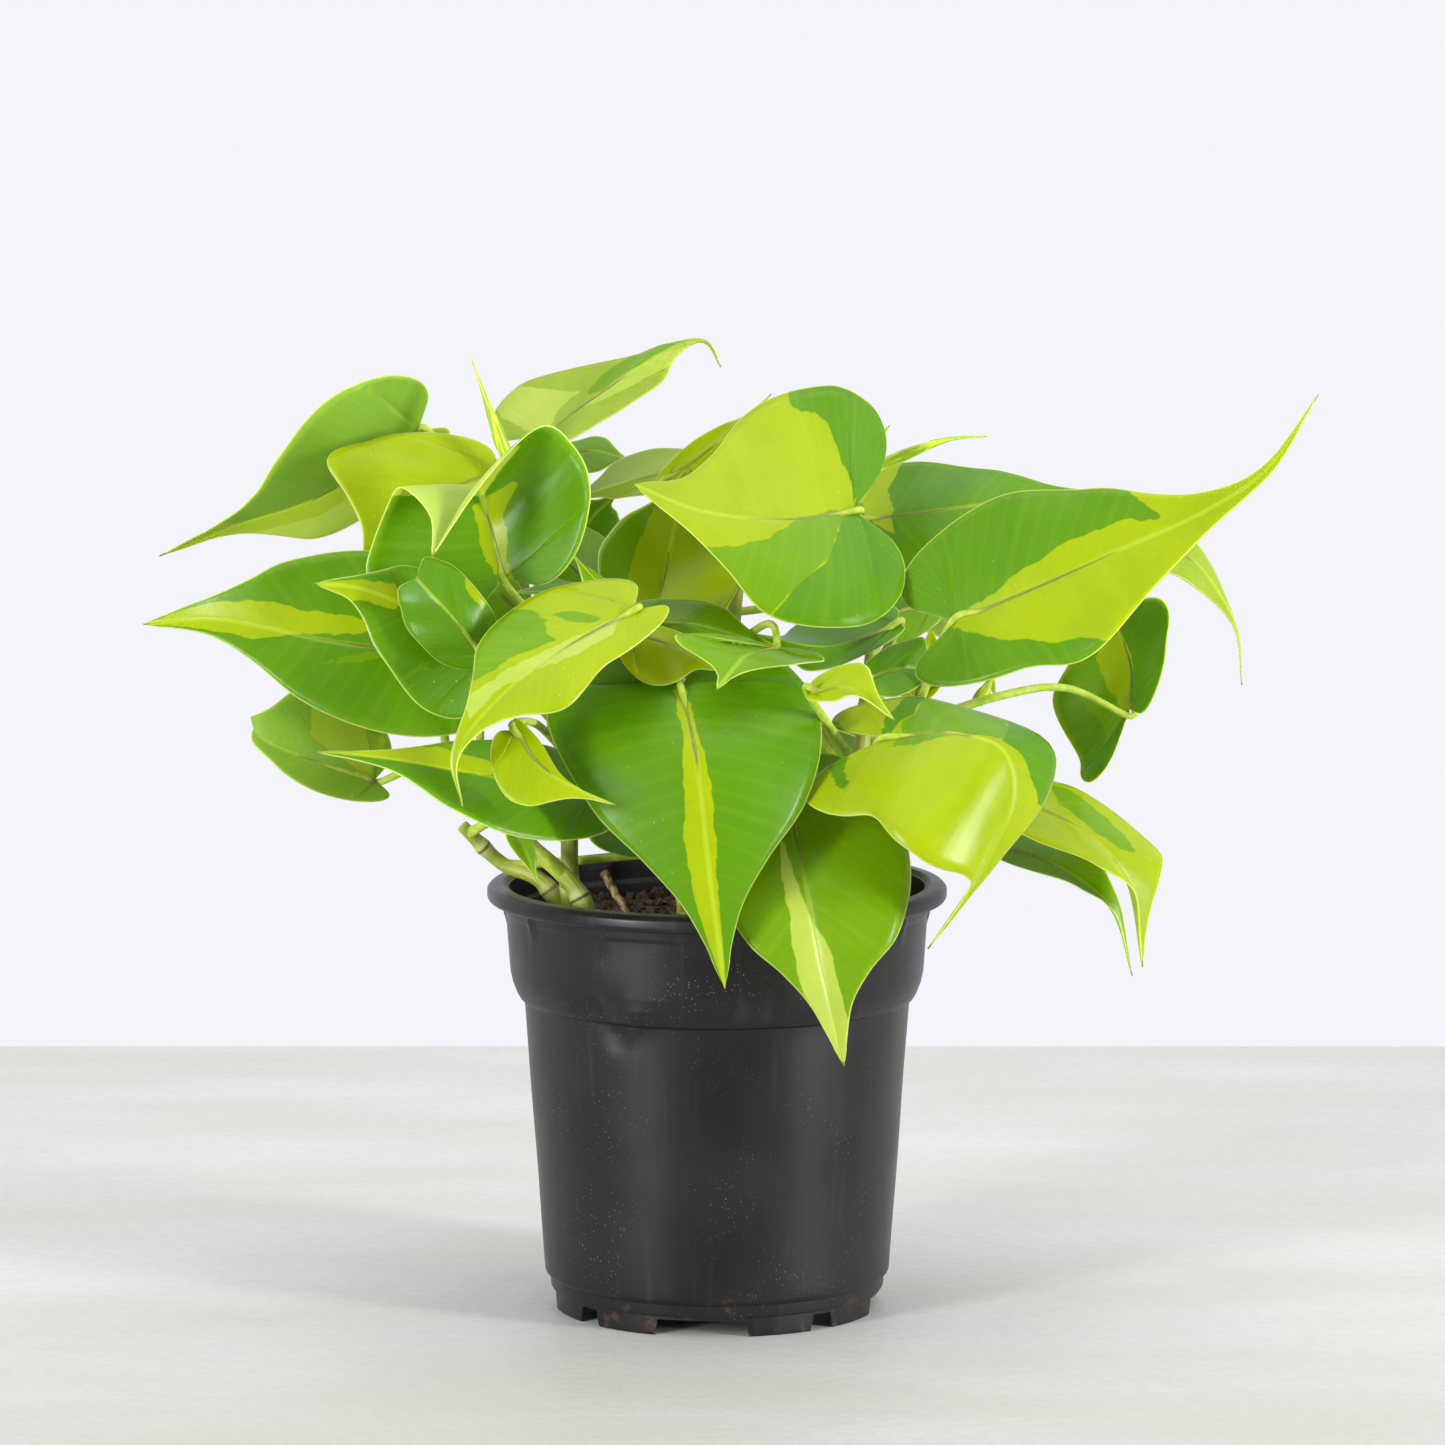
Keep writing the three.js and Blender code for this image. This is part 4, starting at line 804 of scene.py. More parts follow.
# %% [markdown]
# ## The skin of a leaf
# A leaf's skin is waxy. It shows splashes with edges torn along the veins, paler side veins, a
# thin light margin, a duller underside, and a few specks of dust. All four leaf finishes use
# one node group for this, placed with their own ground colour. A smaller group holds the
# dust, since the pot uses it as well. Towards the thin tip the veins and the torn edges fade
# out, because there the blade is only a few millimetres wide.

# %% Groups for dust and for the leaf's skin
TONES = {"dark": "568606", "mid": "6b9304", "lime": "98a900", "pale": "a9b94c"}


def make_dust_group():
    """Small specks in scattered cells, and a soft cloud. The mask is 1 on a speck and 0 beside it."""
    tree, given, result = new_group("dust", [("Amount", "Float", 0.5), ("Size", "Float", 500.0)],
                                    [("Mask", "Float"), ("Cloud", "Float")])
    place = add_node(tree, "TexCoord").outputs["Object"]
    cells = add_node(tree, "TexVoronoi", {"Vector": place, "Scale": given["Size"]})
    speck = ramp(tree, cells.outputs["Distance"], 0.10, 0.22, 1, 0)
    cell_value = add_node(tree, "SeparateXYZ", {0: cells.outputs["Color"]}).outputs[0]
    chosen = ramp(tree, calculate(tree, "ADD", cell_value, given["Amount"]), 0.97, 1.0)
    cloud = ramp(tree, noise(tree, place, 45, 5), 0.45, 0.75)
    tree.links.new(calculate(tree, "MULTIPLY", speck, chosen), result["Mask"])
    tree.links.new(cloud, result["Cloud"])
    return tree


def field(tree, name):
    """The value that a piece stores at each point under this name."""
    return add_node(tree, "Attribute", attribute_name=name).outputs["Fac"]


def make_skin_group(dust):
    """A leaf's colour, roughness and relief from its ground colour and its stored fields."""
    tree, given, result = new_group(
        "leaf_skin", [("Ground", "Color", (0.1, 0.3, 0.02, 1))],
        [("Colour", "Color"), ("Roughness", "Float"), ("Height", "Float")])
    place = add_node(tree, "TexCoord").outputs["Object"]
    across = add_node(tree, "UVMap", uv_map="surface").outputs["UV"]
    streak_place = add_node(tree, "Mapping", {"Vector": across, "Scale": (30, 2.4, 1)}).outputs[0]
    fine = noise(tree, place, 420, 3)
    along = add_node(tree, "SeparateXYZ", {0: across}).outputs[0]
    before_tip = ramp(tree, along, 0.66, 0.82, 1, 0)
    swing = calculate(tree, "SUBTRACT", noise(tree, streak_place, 1, 4), 0.5)
    streak = calculate(tree, "MULTIPLY_ADD", swing, before_tip, 0.5)
    tear = calculate(tree, "ADD", calculate(tree, "MULTIPLY_ADD", streak, 3.6, -1.8),
                     calculate(tree, "MULTIPLY_ADD", fine, 0.7, -0.35))
    vein_step = calculate(tree, "MULTIPLY", along, VEINS)
    main = calculate(tree, "PINGPONG", vein_step, 0.5)
    main = calculate(tree, "MULTIPLY", ramp(tree, main, 0.015, 0.07, 1, 0), before_tip)
    small = calculate(tree, "PINGPONG", calculate(tree, "MULTIPLY", vein_step, 5), 0.5)
    small = calculate(tree, "MULTIPLY", ramp(tree, small, 0.0, 0.22, 1, 0), before_tip)
    colour = given["Ground"]
    for tone, code in TONES.items():
        edge = calculate(tree, "ADD", field(tree, tone), tear)
        colour = blend_colours(tree, ramp(tree, edge, -0.2, 0.2), colour, screen_colour(code))
    mottled = ramp(tree, noise(tree, place, 60, 4), 0.35, 0.7, 0, 0.3)
    colour = blend_colours(tree, mottled, colour, (0.62, 0.75, 0.4, 1), "MULTIPLY")
    colour = blend_colours(tree, ramp(tree, streak, 0.3, 0.7, 0, 0.16), colour, (0.6, 0.8, 0.35, 1),
                           "MULTIPLY")
    lines = calculate(tree, "MAXIMUM", calculate(tree, "MULTIPLY", main, 0.03),
                      calculate(tree, "MULTIPLY", small, 0.02))
    colour = blend_colours(tree, lines, colour, screen_colour("cfe05a"))
    rib = ramp(tree, field(tree, "rib"), 0.25, 1.0, 0.35, 0)
    colour = blend_colours(tree, rib, colour, screen_colour("b9cf3e"))
    under = field(tree, "under")
    colour = blend_colours(tree, calculate(tree, "MULTIPLY", under, 0.2), colour,
                           screen_colour("a3c06c"))
    margin = ramp(tree, field(tree, "margin"), 0.08, 0.42, 0.6, 0)
    colour = blend_colours(tree, margin, colour, screen_colour("c3d77a"))
    stalk = field(tree, "stalk")
    green_stalk = blend_colours(tree, ramp(tree, fine, 0.3, 0.7), screen_colour("93ac2e"),
                                screen_colour("b5c655"))
    colour = blend_colours(tree, stalk, colour, green_stalk)
    specks = place_group(tree, dust, Amount=0.06, Size=900.0)
    uneven = calculate(tree, "MULTIPLY", specks["Cloud"], 0.6)
    dusty = calculate(tree, "MULTIPLY", specks["Mask"], uneven)
    colour = blend_colours(tree, dusty, colour, screen_colour("d8dcc0"))
    rough = calculate(tree, "MULTIPLY_ADD", under, 0.2, 0.3)
    rough = calculate(tree, "ADD", rough, calculate(tree, "MULTIPLY", specks["Cloud"], 0.1))
    relief = calculate(tree, "SUBTRACT", calculate(tree, "MULTIPLY", fine, 0.35),
                       calculate(tree, "MULTIPLY", calculate(tree, "MAXIMUM", main, small), 0.07))
    tree.links.new(colour, result["Colour"])
    tree.links.new(rough, result["Roughness"])
    tree.links.new(relief, result["Height"])
    return tree


dust_group = make_dust_group()
skin_group = make_skin_group(dust_group)
print("groups:", dust_group.name, "and", skin_group.name)

# %% The four leaf finishes
GROUND = {**TONES, "pale": "8ea32e"}


def make_leaf_finish(tone):
    """A waxy green with its splashes, and a little light that passes through the blade."""
    material, tree, shader = new_material("leaf_" + tone + "_skin", 0.4, 0.2)
    skin = place_group(tree, skin_group, Ground=screen_colour(GROUND[tone]))
    tree.links.new(skin["Colour"], shader.inputs["Base Color"])
    tree.links.new(skin["Roughness"], shader.inputs["Roughness"])
    shader.inputs["Subsurface Weight"].default_value = 0.7
    shader.inputs["Subsurface Radius"].default_value = (0.9, 1.0, 0.12)
    shader.inputs["Subsurface Scale"].default_value = 0.0022
    add_bump(tree, shader, skin["Height"], 0.00012)
    return material


leaf_finish = {tone: make_leaf_finish(tone) for tone in GROUND}
print("leaf finishes:", ", ".join(leaf_finish))

# %% [markdown]
# ## Building the leaves
# A leaf is a closed sheet: an upper and a lower skin up to 0.48 mm apart that grow together at the
# margin. The margin waves slightly, the blade puffs up between the veins, and the midrib is a
# furrow above and a ridge below. The stalk is a tube that runs on under the blade as that
# ridge, getting thinner, which is how it is on the living leaf.

# %% Build every leaf
MARGIN_THICKNESS = 0.24


def leaf_sheet(name, leaf):
    """Points, faces and fields of the closed sheet. The upper skin is the middle surface plus
    half the thickness and the relief along its normal, and the lower skin is that less the
    thickness; the last column of one is joined to that of the other, all the way round."""
    middle, x_share, out, share, v, rib, body = blade(leaf)
    normal = surface_normals(middle)
    seed = sum(map(ord, name))
    size = body / 60
    half_width = np.mean([np.linalg.norm(np.array(leaf[side][0]) - leaf["rib"][0])
                          for side in ("left", "right")])
    steps = np.linalg.norm(np.diff(middle, axis=1), axis=-1)
    reach = np.concatenate([np.zeros((ROWS, 1)), np.cumsum(steps, axis=1)], axis=1)
    centre = COLUMNS // 2
    rib_gap = abs(reach - reach[:, centre:centre + 1])
    margin_gap = np.minimum(reach, reach[:, -1:] - reach)
    wave = waves(np.stack([x_share * 2.2, out * 0.6 + seed], -1), 1.3, seed)
    puff = np.cos(2 * np.pi * share[:, None] * VEINS) * smoothstep(rib_gap, 0.5, 5)
    puff = puff * smoothstep(margin_gap, 0, 5)
    relief = 0.75 * size * wave * smoothstep(rib_gap / half_width, 0.3, 1.0) - 0.035 * size * puff
    relief = relief * smoothstep(x_share, 1.15, 0.9)
    furrow = 0.2 * np.exp(-(rib_gap / 0.9) ** 2) * smoothstep(x_share, 1.05, 0.6)
    thick = MARGIN_THICKNESS + MARGIN_THICKNESS * smoothstep(margin_gap, 0, 1.2)
    upper = middle + normal * (relief + thick / 2 - furrow)[..., None]
    lower = middle + normal * (relief - thick / 2 - 0.5 * furrow)[..., None]
    count = ROWS * COLUMNS
    faces = [*grid_faces(ROWS, COLUMNS), *grid_faces(ROWS, COLUMNS, first=count, flip=True)]
    grid = np.arange(count).reshape(ROWS, COLUMNS)
    ring = np.concatenate([grid[0], grid[1:, -1], grid[-1, -2::-1], grid[-2:0:-1, 0]])
    nxt = np.roll(ring, -1)
    faces += [*np.stack([ring, ring + count, nxt + count, nxt], -1)]
    fields = paint(name, leaf, x_share, out, body, half_width)
    fields.update(rib=rib_gap, margin=margin_gap, under=np.zeros_like(out), stalk=np.zeros_like(out))
    fields = {k: np.r_[f.ravel(), f.ravel()] for k, f in fields.items()}
    fields["under"][count:] = 1
    uv = np.stack(np.broadcast_arrays(share[:, None], 0.5 + 0.5 * v[None, :]), -1).reshape(-1, 2)
    return np.vstack([upper.reshape(-1, 3), lower.reshape(-1, 3)]), faces, fields, np.vstack([uv, uv]), \
        (middle[:, centre], normal[:, centre], x_share[:, centre])


def leaf_stalk(leaf, midrib):
    """The stalk's route from the stem through its bends and on under the midrib, as a tube
    that is 1.25 mm in radius at the stem and thins out under the blade."""
    points, normal, share = midrib
    stem = curve_through(STEMS[leaf["stem"]])
    start = at_distance(stem, np.array(leaf["at"] * distances(stem)[-1]))
    rib_start = np.array(leaf["rib"][0], float)
    ahead = unit(np.array(leaf["rib"][1], float) - rib_start)
    under = [points[np.argmin(abs(share - s))] - normal[np.argmin(abs(share - s))] * drop
             for s, drop in ((0.1, 0.55), (0.3, 0.42), (0.55, 0.3))]
    route = curve_through([start, *leaf.get("stalk", []), rib_start - 2 * ahead, *under])
    total = distances(route)[-1]
    to_blade = total - np.linalg.norm(under[-1] - under[0]) - np.linalg.norm(under[0] - rib_start)
    join = to_blade / total

    def radius(s, angle):
        before = 1.25 - 0.35 * s / join + 0.5 * np.exp(-(s * total / 2.5) ** 2)
        return np.where(s < join, before, 0.9 - 0.65 * np.clip((s - join) / (1 - join), 0, 1))

    made = tube(route, radius, 12, 64)
    return made, join


def build_leaf(name, leaf):
    """One open leaf with its stalk, in the place of its solid."""
    sheet, faces, fields, uv, midrib = leaf_sheet(name, leaf)
    (stalk, stalk_faces, share, turn), join = leaf_stalk(leaf, midrib)
    faces += [f + len(sheet) for f in stalk_faces]
    count = len(stalk)
    far = {"rib": 9.0, "margin": 9.0, "under": 1.0, "stalk": 1.0}
    fields = {k: np.r_[f, np.full(count, far.get(k, -20.0))] for k, f in fields.items()}
    fields["stalk"][len(sheet):] = 1 - 0.75 * smoothstep(share, join, 1)
    return make_piece("piece_" + name, np.vstack([sheet, stalk]), faces,
                      leaf_finish[leaf["tone"]], "leaf_" + name,
                      fields, np.vstack([uv, np.stack([share * 3, turn], -1)]))


leaves = {name: build_leaf(name, leaf) for name, leaf in LEAVES.items()}
print(len(leaves), "leaves with", sum(len(p.data.polygons) for p in leaves.values()), "faces")

# %% [markdown]
# ## Stems
# A stem is a round green vine with a joint every few centimetres, where a leaf stalk leaves it.
# At a joint it swells and carries a thin brown ring, the scar of the sheath that the leaf came
# out of. The radius along the tube is a taper with a small hump at each joint, and the distance
# to the nearest joint is stored for the colour.

# %% Stem finish and stems
JOINT_SPACING = 21


def make_stem_finish():
    """Olive green, paler round each joint, with a brown ring at each joint and fine long streaks."""
    material, tree, shader = new_material("vine_skin", 0.45)
    place = add_node(tree, "TexCoord").outputs["Object"]
    across = add_node(tree, "UVMap", uv_map="surface").outputs["UV"]
    drawn = add_node(tree, "Mapping", {"Vector": across, "Scale": (3, 22, 1)}).outputs[0]
    streak = noise(tree, drawn, 1, 3)
    blotch = noise(tree, place, 120, 4)
    colour = blend_colours(tree, ramp(tree, blotch, 0.35, 0.65), screen_colour("7c9420"),
                           screen_colour("aab13c"))
    colour = blend_colours(tree, ramp(tree, streak, 0.45, 0.75, 0, 0.5), colour, screen_colour("8a8f4a"))
    gap = calculate(tree, "ADD", field(tree, "joint"), calculate(tree, "MULTIPLY", blotch, 0.8))
    pale = ramp(tree, gap, 1.2, 3.6, 0.55, 0)
    colour = blend_colours(tree, pale, colour, screen_colour("c9cf86"))
    ring = ramp(tree, gap, 0.5, 1.0, 0.9, 0)
    colour = blend_colours(tree, ring, colour, screen_colour("6b4a22"))
    specks = place_group(tree, dust_group, Amount=0.2, Size=900.0)
    colour = blend_colours(tree, calculate(tree, "MULTIPLY", specks["Mask"], 0.6), colour,
                           screen_colour("5a4326"))
    tree.links.new(colour, shader.inputs["Base Color"])
    tree.links.new(calculate(tree, "MULTIPLY_ADD", streak, 0.25, 0.32), shader.inputs["Roughness"])
    add_bump(tree, shader, calculate(tree, "ADD", streak, ring), 0.0003)
    return material


def stem_radius(curve, thick, thin, spacing):
    """A taper from thick to thin, plus a hump 0.45 mm high and 2 mm wide at each joint and a
    slight oval shape."""
    length = distances(curve)[-1]

    def radius(s, angle):
        gap = abs((s * length + spacing * 0.35) % spacing - spacing / 2)
        hump = 0.45 * np.exp(-(gap / 2.0) ** 2)
        return (thick + (thin - thick) * s + hump) * (1 + 0.04 * np.cos(2 * angle + 3 * s))

    return radius


def build_stem(name, route, finish, thick=2.6, thin=1.7, spacing=JOINT_SPACING):
    """A jointed tube along a route, with each point's distance to the nearest joint."""
    curve = curve_through(route)
    points, faces, share, turn = tube(curve, stem_radius(curve, thick, thin, spacing), 20, 110)
    length = distances(curve)[-1]
    joint = abs((share * length + spacing * 0.35) % spacing - spacing / 2)
    node = "stem_" + name if name in STEMS else None
    return make_piece("vine_" + name, points, faces, finish, node, {"joint": joint},
                      np.stack([share * length / 20, turn], -1))


stem_finish = make_stem_finish()
stems = {name: build_stem(name, route, stem_finish) for name, route in STEMS.items()}
old_stub = build_stem("old_stub", [(-19, -45, 100), (-15, -43, 104), (-8, -38, 108), (2, -32, 110)],
                      stem_finish, 1.9, 1.6, 12)
print(len(stems), "stems and one old stub of a cutting")

# %% [markdown]
# ## Rolled leaves
# A new leaf comes out of the plant rolled up like a paper cone, pale lime, with one edge lying
# over the other in a long spiral. The roll is a tube whose radius grows slowly round its turn
# and drops back at the free edge, and the place of that edge turns along the way.

# %% Rolled leaves and their finish
SPEARS = {
    "spear_left": ([(-52, -8, 218), (-57, -10, 232), (-63, -10, 249)], 1.7),
    "spear_short": ([(41, 14, 222), (42, 14, 226), (45, 14, 230)], 1.4),
    "spear_right": ([(39, 10, 218), (49, 8, 223), (60, 6, 227), (70, 4, 228)], 1.5),
    "sheath_right": ([(67, -10, 160), (69, -10, 163), (72, -10, 168)], 1.8),
}


def make_roll_finish():
    """Lime and green streaks along the roll, glossy, with a darker free edge."""
    material, tree, shader = new_material("rolled_leaf_skin", 0.35)
    across = add_node(tree, "UVMap", uv_map="surface").outputs["UV"]
    drawn = add_node(tree, "Mapping", {"Vector": across, "Scale": (2.5, 9, 1)}).outputs[0]
    streak = noise(tree, drawn, 1, 4)
    colour = blend_colours(tree, ramp(tree, streak, 0.42, 0.6), screen_colour("93b81e"),
                           screen_colour("d2e23a"))
    edge = field(tree, "edge")
    colour = blend_colours(tree, calculate(tree, "MULTIPLY", edge, 0.5), colour, screen_colour("6f9318"))
    tree.links.new(colour, shader.inputs["Base Color"])
    tree.links.new(calculate(tree, "MULTIPLY_ADD", streak, 0.2, 0.28), shader.inputs["Roughness"])
    add_bump(tree, shader, streak, 0.0002)
    shader.inputs["Subsurface Weight"].default_value = 0.2
    shader.inputs["Subsurface Scale"].default_value = 0.001
    return material


def build_roll(name, route, thick):
    """A rolled leaf: radius thick, growing to its middle and thinning to a point, with a step
    of a sixth of the radius where the turn angle, less 5 s, passes a full circle."""
    curve = curve_through(route)

    def turn_left(s, angle):
        return ((angle - 5 * s) / (2 * np.pi)) % 1

    def radius(s, angle):
        shape = (1 - s) ** 0.65 * (0.8 + 0.55 * np.sin(np.pi * np.minimum(s * 1.4, 1)))
        return thick * np.maximum(shape, 0.12) * (0.88 + 0.2 * turn_left(s, angle))

    points, faces, share, turn = tube(curve, radius, 28, 70)
    edge = 1 - smoothstep(turn_left(share, turn * 2 * np.pi), 0, 0.12)
    return make_piece("roll_" + name, points, faces, roll_finish, name,
                      {"edge": edge}, np.stack([share * distances(curve)[-1] / 20, turn], -1))


roll_finish = make_roll_finish()
rolls = [build_roll(name, route, radius) for name, (route, radius) in SPEARS.items()]
print(len(rolls), "rolled leaves")

# %% [markdown]
# ## The pot
# The pot is thin black plastic, blown or pressed in one piece: a rolled lip, a collar, a rounded
# shoulder groove, a tapering body and a stepped foot with drain notches. A turned shape does all
# of this with one profile. The real wall isn't perfect, so the outer skin gets slow waves and two
# dents at the left of the shoulder, and small stacking tabs stand under the lip. Notches and
# drain holes are cut last with a boolean, because a hole can't be made by moving points.

# %% The pot's profile
RIM_RADIUS, POT_HEIGHT, WALL = 60, 112, 1.2
COLLAR_TOP, COLLAR_FOOT, BODY_TOP = 55.4, 53.9, 50.3
SHOULDER, SHOULDER_TOP, LIP_FOOT = 81.5, 89.0, 107.5
FOOT_RADIUS, BODY_FOOT, FOOT_TOP, FLOOR_FOOT, FLOOR_TOP = 42.7, 45.1, 9.5, 3.6, 4.8

outer_wall = [(FOOT_RADIUS, 0), (FOOT_RADIUS + 0.2, 7.5), (BODY_FOOT, FOOT_TOP),
              (BODY_TOP, SHOULDER), (BODY_TOP + 1.0, SHOULDER + 0.3),
              (BODY_TOP + 1.9, SHOULDER + 1.8), (COLLAR_FOOT - 0.6, SHOULDER_TOP - 2.8),
              (COLLAR_FOOT, SHOULDER_TOP), (COLLAR_TOP - 0.4, LIP_FOOT - 3.4),
              (COLLAR_TOP, LIP_FOOT - 2.6)]
lip = [(COLLAR_TOP + 0.3, LIP_FOOT - 0.2), (RIM_RADIUS - 0.7, LIP_FOOT), (RIM_RADIUS, LIP_FOOT + 1.0),
       (RIM_RADIUS, POT_HEIGHT - 1.4), (RIM_RADIUS - 1.2, POT_HEIGHT - 0.2),
       (COLLAR_TOP + 0.6, POT_HEIGHT), (COLLAR_TOP - WALL, POT_HEIGHT - 0.8)]
inner_wall = [(r - WALL, z) for r, z in outer_wall[:2:-1]]
floor_line = [(BODY_FOOT - WALL - 0.3, FLOOR_TOP + 0.4), (BODY_FOOT - WALL - 2, FLOOR_TOP),
              (0.4, FLOOR_TOP), (0.4, FLOOR_FOOT), (FOOT_RADIUS - WALL - 0.7, FLOOR_FOOT)]
foot_ring = [(FOOT_RADIUS - WALL, FLOOR_FOOT - 0.8), (FOOT_RADIUS - WALL, 0)]


def round_corners(profile, radius, per_corner=5, longest=3.0):
    """Rounds each corner of a closed profile with a curve that starts up to `radius` before it
    and ends as far after it, and then adds points so that no step is longer than `longest`."""
    p = np.array(profile, float)
    before, after = np.roll(p, 1, 0) - p, np.roll(p, -1, 0) - p
    shorter = np.minimum(np.linalg.norm(before, axis=1), np.linalg.norm(after, axis=1))
    cut = np.minimum(radius, 0.45 * shorter)
    a, b = p + unit(before) * cut[:, None], p + unit(after) * cut[:, None]
    u = np.linspace(0, 1, per_corner)[None, :, None]
    curve = (1 - u) ** 2 * a[:, None] + 2 * u * (1 - u) * p[:, None] + u ** 2 * b[:, None]
    curve = curve.reshape(-1, 2)
    pieces = np.linalg.norm(np.roll(curve, -1, 0) - curve, axis=1)
    counts = np.maximum(1, np.ceil(pieces / longest).astype(int))
    index = np.repeat(np.arange(len(curve)), counts)
    part = np.concatenate([np.arange(c) / c for c in counts])[:, None]
    return curve[index] * (1 - part) + np.roll(curve, -1, 0)[index] * part


profile = round_corners(outer_wall + lip + inner_wall + floor_line + foot_ring, 0.5)
print("the pot's profile has", len(profile), "points")

# %% Turn the pot and cut its holes
POT_TURNS = 256
NOTCH_HEIGHT, WIDE_NOTCH, NARROW_NOTCH, NOTCH_TURN = 4.3, 25, 8, -5.6
DRAIN_RADIUS, DRAIN_CIRCLE = 4.5, 29

# Each dent: its angle, height, depth (a bulge where it is positive), and spread sideways and up.
DENTS = ((-0.62, 86, -2.0, 6, 4), (-0.52, 78.5, -1.2, 5, 3), (-0.42, 84, 0.7, 5, 3),
         (0.1, 87, -0.5, 12, 3))


def turned(profile, turns, push=None):
    """Points and faces of a profile turned round the upright axis. push(radius, height, angle)
    gives how far each point moves outwards; angle 0 is the front and positive to the right."""
    angle = np.linspace(0, 2 * np.pi, turns, endpoint=False)[:, None]
    r, z = profile[None, :, 0], profile[None, :, 1] + 0 * angle
    r = r + (push(r, z, angle) if push else 0) + 0 * angle
    points = np.stack([r * np.sin(angle), -r * np.cos(angle), z], -1)
    rows, columns = points.shape[:2]
    faces = grid_faces(rows + 1, columns, closed=True) % (rows * columns)
    return points.reshape(-1, 3), faces


def wall_push(r, z, angle):
    """Slow waves of 0.12 mm, the dents round the shoulder, and the stacking tabs. A dent is its
    depth times e to the minus square of the distance from its middle, in units of its spread."""
    signed = (angle + np.pi) % (2 * np.pi) - np.pi
    around = np.stack([np.cos(angle) + 0 * z, np.sin(angle) + 0 * z, z / 60], -1)
    push = 0.12 * waves(around, 1.1, 4)
    for turn, height, depth, wide, tall in DENTS:
        near = ((signed - turn) * 53 / wide) ** 2 + ((z - height) / tall) ** 2
        push = push + depth * np.exp(-near)
    tab = smoothstep(np.cos(12 * angle), 0.93, 0.97) * smoothstep(z, 101.5, 102.3)
    tab = tab * smoothstep(z, 107.6, 107.2) * (r > COLLAR_TOP - 0.8) * (r < COLLAR_TOP + 0.6)
    wall = (r > 30) & (z > 1)
    return push * wall * smoothstep(z, 0, 12) + 0.7 * tab


def fix_normals(mesh):
    """Turns all faces of a closed mesh outwards."""
    work = bmesh.new()
    work.from_mesh(mesh)
    bmesh.ops.recalc_face_normals(work, faces=work.faces)
    work.to_mesh(mesh)
    work.free()


def cutters():
    """Closed shapes for the drain notches and holes: wide and narrow notches take turns."""
    points, faces = [], []
    for i in range(8):
        turn = math.radians(NOTCH_TURN + i * 45)
        half = (NARROW_NOTCH if i % 2 else WIDE_NOTCH) / 2
        low, high = (half, -1), (half - 1.2, NOTCH_HEIGHT)
        block = [(x * s, -y, z) for y in (38.3, 50) for s in (-1, 1) for x, z in (low, high)]
        corners = [(0, 1, 3, 2), (4, 6, 7, 5), (0, 4, 5, 1), (2, 3, 7, 6), (0, 2, 6, 4), (1, 5, 7, 3)]
        a = np.linspace(0, 2 * np.pi, 28, endpoint=False)
        ring = np.stack([DRAIN_RADIUS * np.cos(a), DRAIN_RADIUS * np.sin(a) - DRAIN_CIRCLE], -1)
        hole = [(*p, z) for z in (1.5, 7) for p in ring]
        sides = [(j, (j + 1) % 28, 28 + (j + 1) % 28, 28 + j) for j in range(28)]
        ends = [tuple(range(27, -1, -1)), tuple(range(28, 56))]
        for shape, around in ((block, corners), (hole, [*sides, *ends])):
            faces += [tuple(len(points) + k for k in f) for f in around]
            points += [(x * math.cos(turn) - y * math.sin(turn),
                        x * math.sin(turn) + y * math.cos(turn), z)
                       for x, y, z in shape]
    mesh = bpy.data.meshes.new("cutters")
    mesh.from_pydata((np.array(points) * MM).tolist(), [], faces)
    fix_normals(mesh)
    piece = bpy.data.objects.new("cutters", mesh)
    bpy.context.collection.objects.link(piece)
    return piece


def make_plastic():
    """Black plastic with a soft sheen: fine rings from the mould, scuffs, dust and dried soil."""
    material, tree, shader = new_material("pressed_black_plastic", 0.4, 0.36)
    place = add_node(tree, "TexCoord").outputs["Object"]
    flat = add_node(tree, "Mapping", {"Vector": place, "Scale": (25, 25, 900)}).outputs[0]
    tall = add_node(tree, "Mapping", {"Vector": place, "Scale": (260, 260, 14)}).outputs[0]
    rings = noise(tree, flat, 1, 2)
    upright = noise(tree, tall, 1, 3)
    cloud = noise(tree, place, 38, 6)
    grain = noise(tree, place, 1500, 2)
    specks = place_group(tree, dust_group, Amount=0.2, Size=640.0)
    fine_specks = place_group(tree, dust_group, Amount=0.3, Size=1300.0)
    height = add_node(tree, "SeparateXYZ", {0: place}).outputs[2]
    low = ramp(tree, height, 0.04, 0.0, 0.1, 0.8)
    soil = ramp(tree, calculate(tree, "MULTIPLY", noise(tree, place, 210, 6), low), 0.44, 0.52, 0, 0.8)
    colour = blend_colours(tree, ramp(tree, cloud, 0.35, 0.7), screen_colour("0c0c0b"),
                           screen_colour("171615"))
    colour = blend_colours(tree, ramp(tree, upright, 0.55, 0.8, 0, 0.2), colour, screen_colour("45423e"))
    pale_dust = calculate(tree, "MULTIPLY", fine_specks["Mask"], fine_specks["Cloud"])
    colour = blend_colours(tree, pale_dust, colour, screen_colour("8f8a80"))
    colour = blend_colours(tree, calculate(tree, "MULTIPLY", specks["Mask"], specks["Cloud"]), colour,
                           screen_colour("57402f"))
    colour = blend_colours(tree, soil, colour, screen_colour("3d2b20"))
    rough = calculate(tree, "MULTIPLY_ADD", cloud, 0.3, 0.22)
    rough = calculate(tree, "MAXIMUM", rough, calculate(tree, "MULTIPLY", soil, 0.9))
    tree.links.new(colour, shader.inputs["Base Color"])
    tree.links.new(rough, shader.inputs["Roughness"])
    relief = calculate(tree, "ADD", calculate(tree, "MULTIPLY", rings, 0.5),
                       calculate(tree, "MULTIPLY", grain, 0.25))
    relief = calculate(tree, "ADD", relief, calculate(tree, "MULTIPLY", upright, 0.3))
    add_bump(tree, shader, calculate(tree, "MULTIPLY_ADD", soil, 4, relief), 0.00002)
    return material


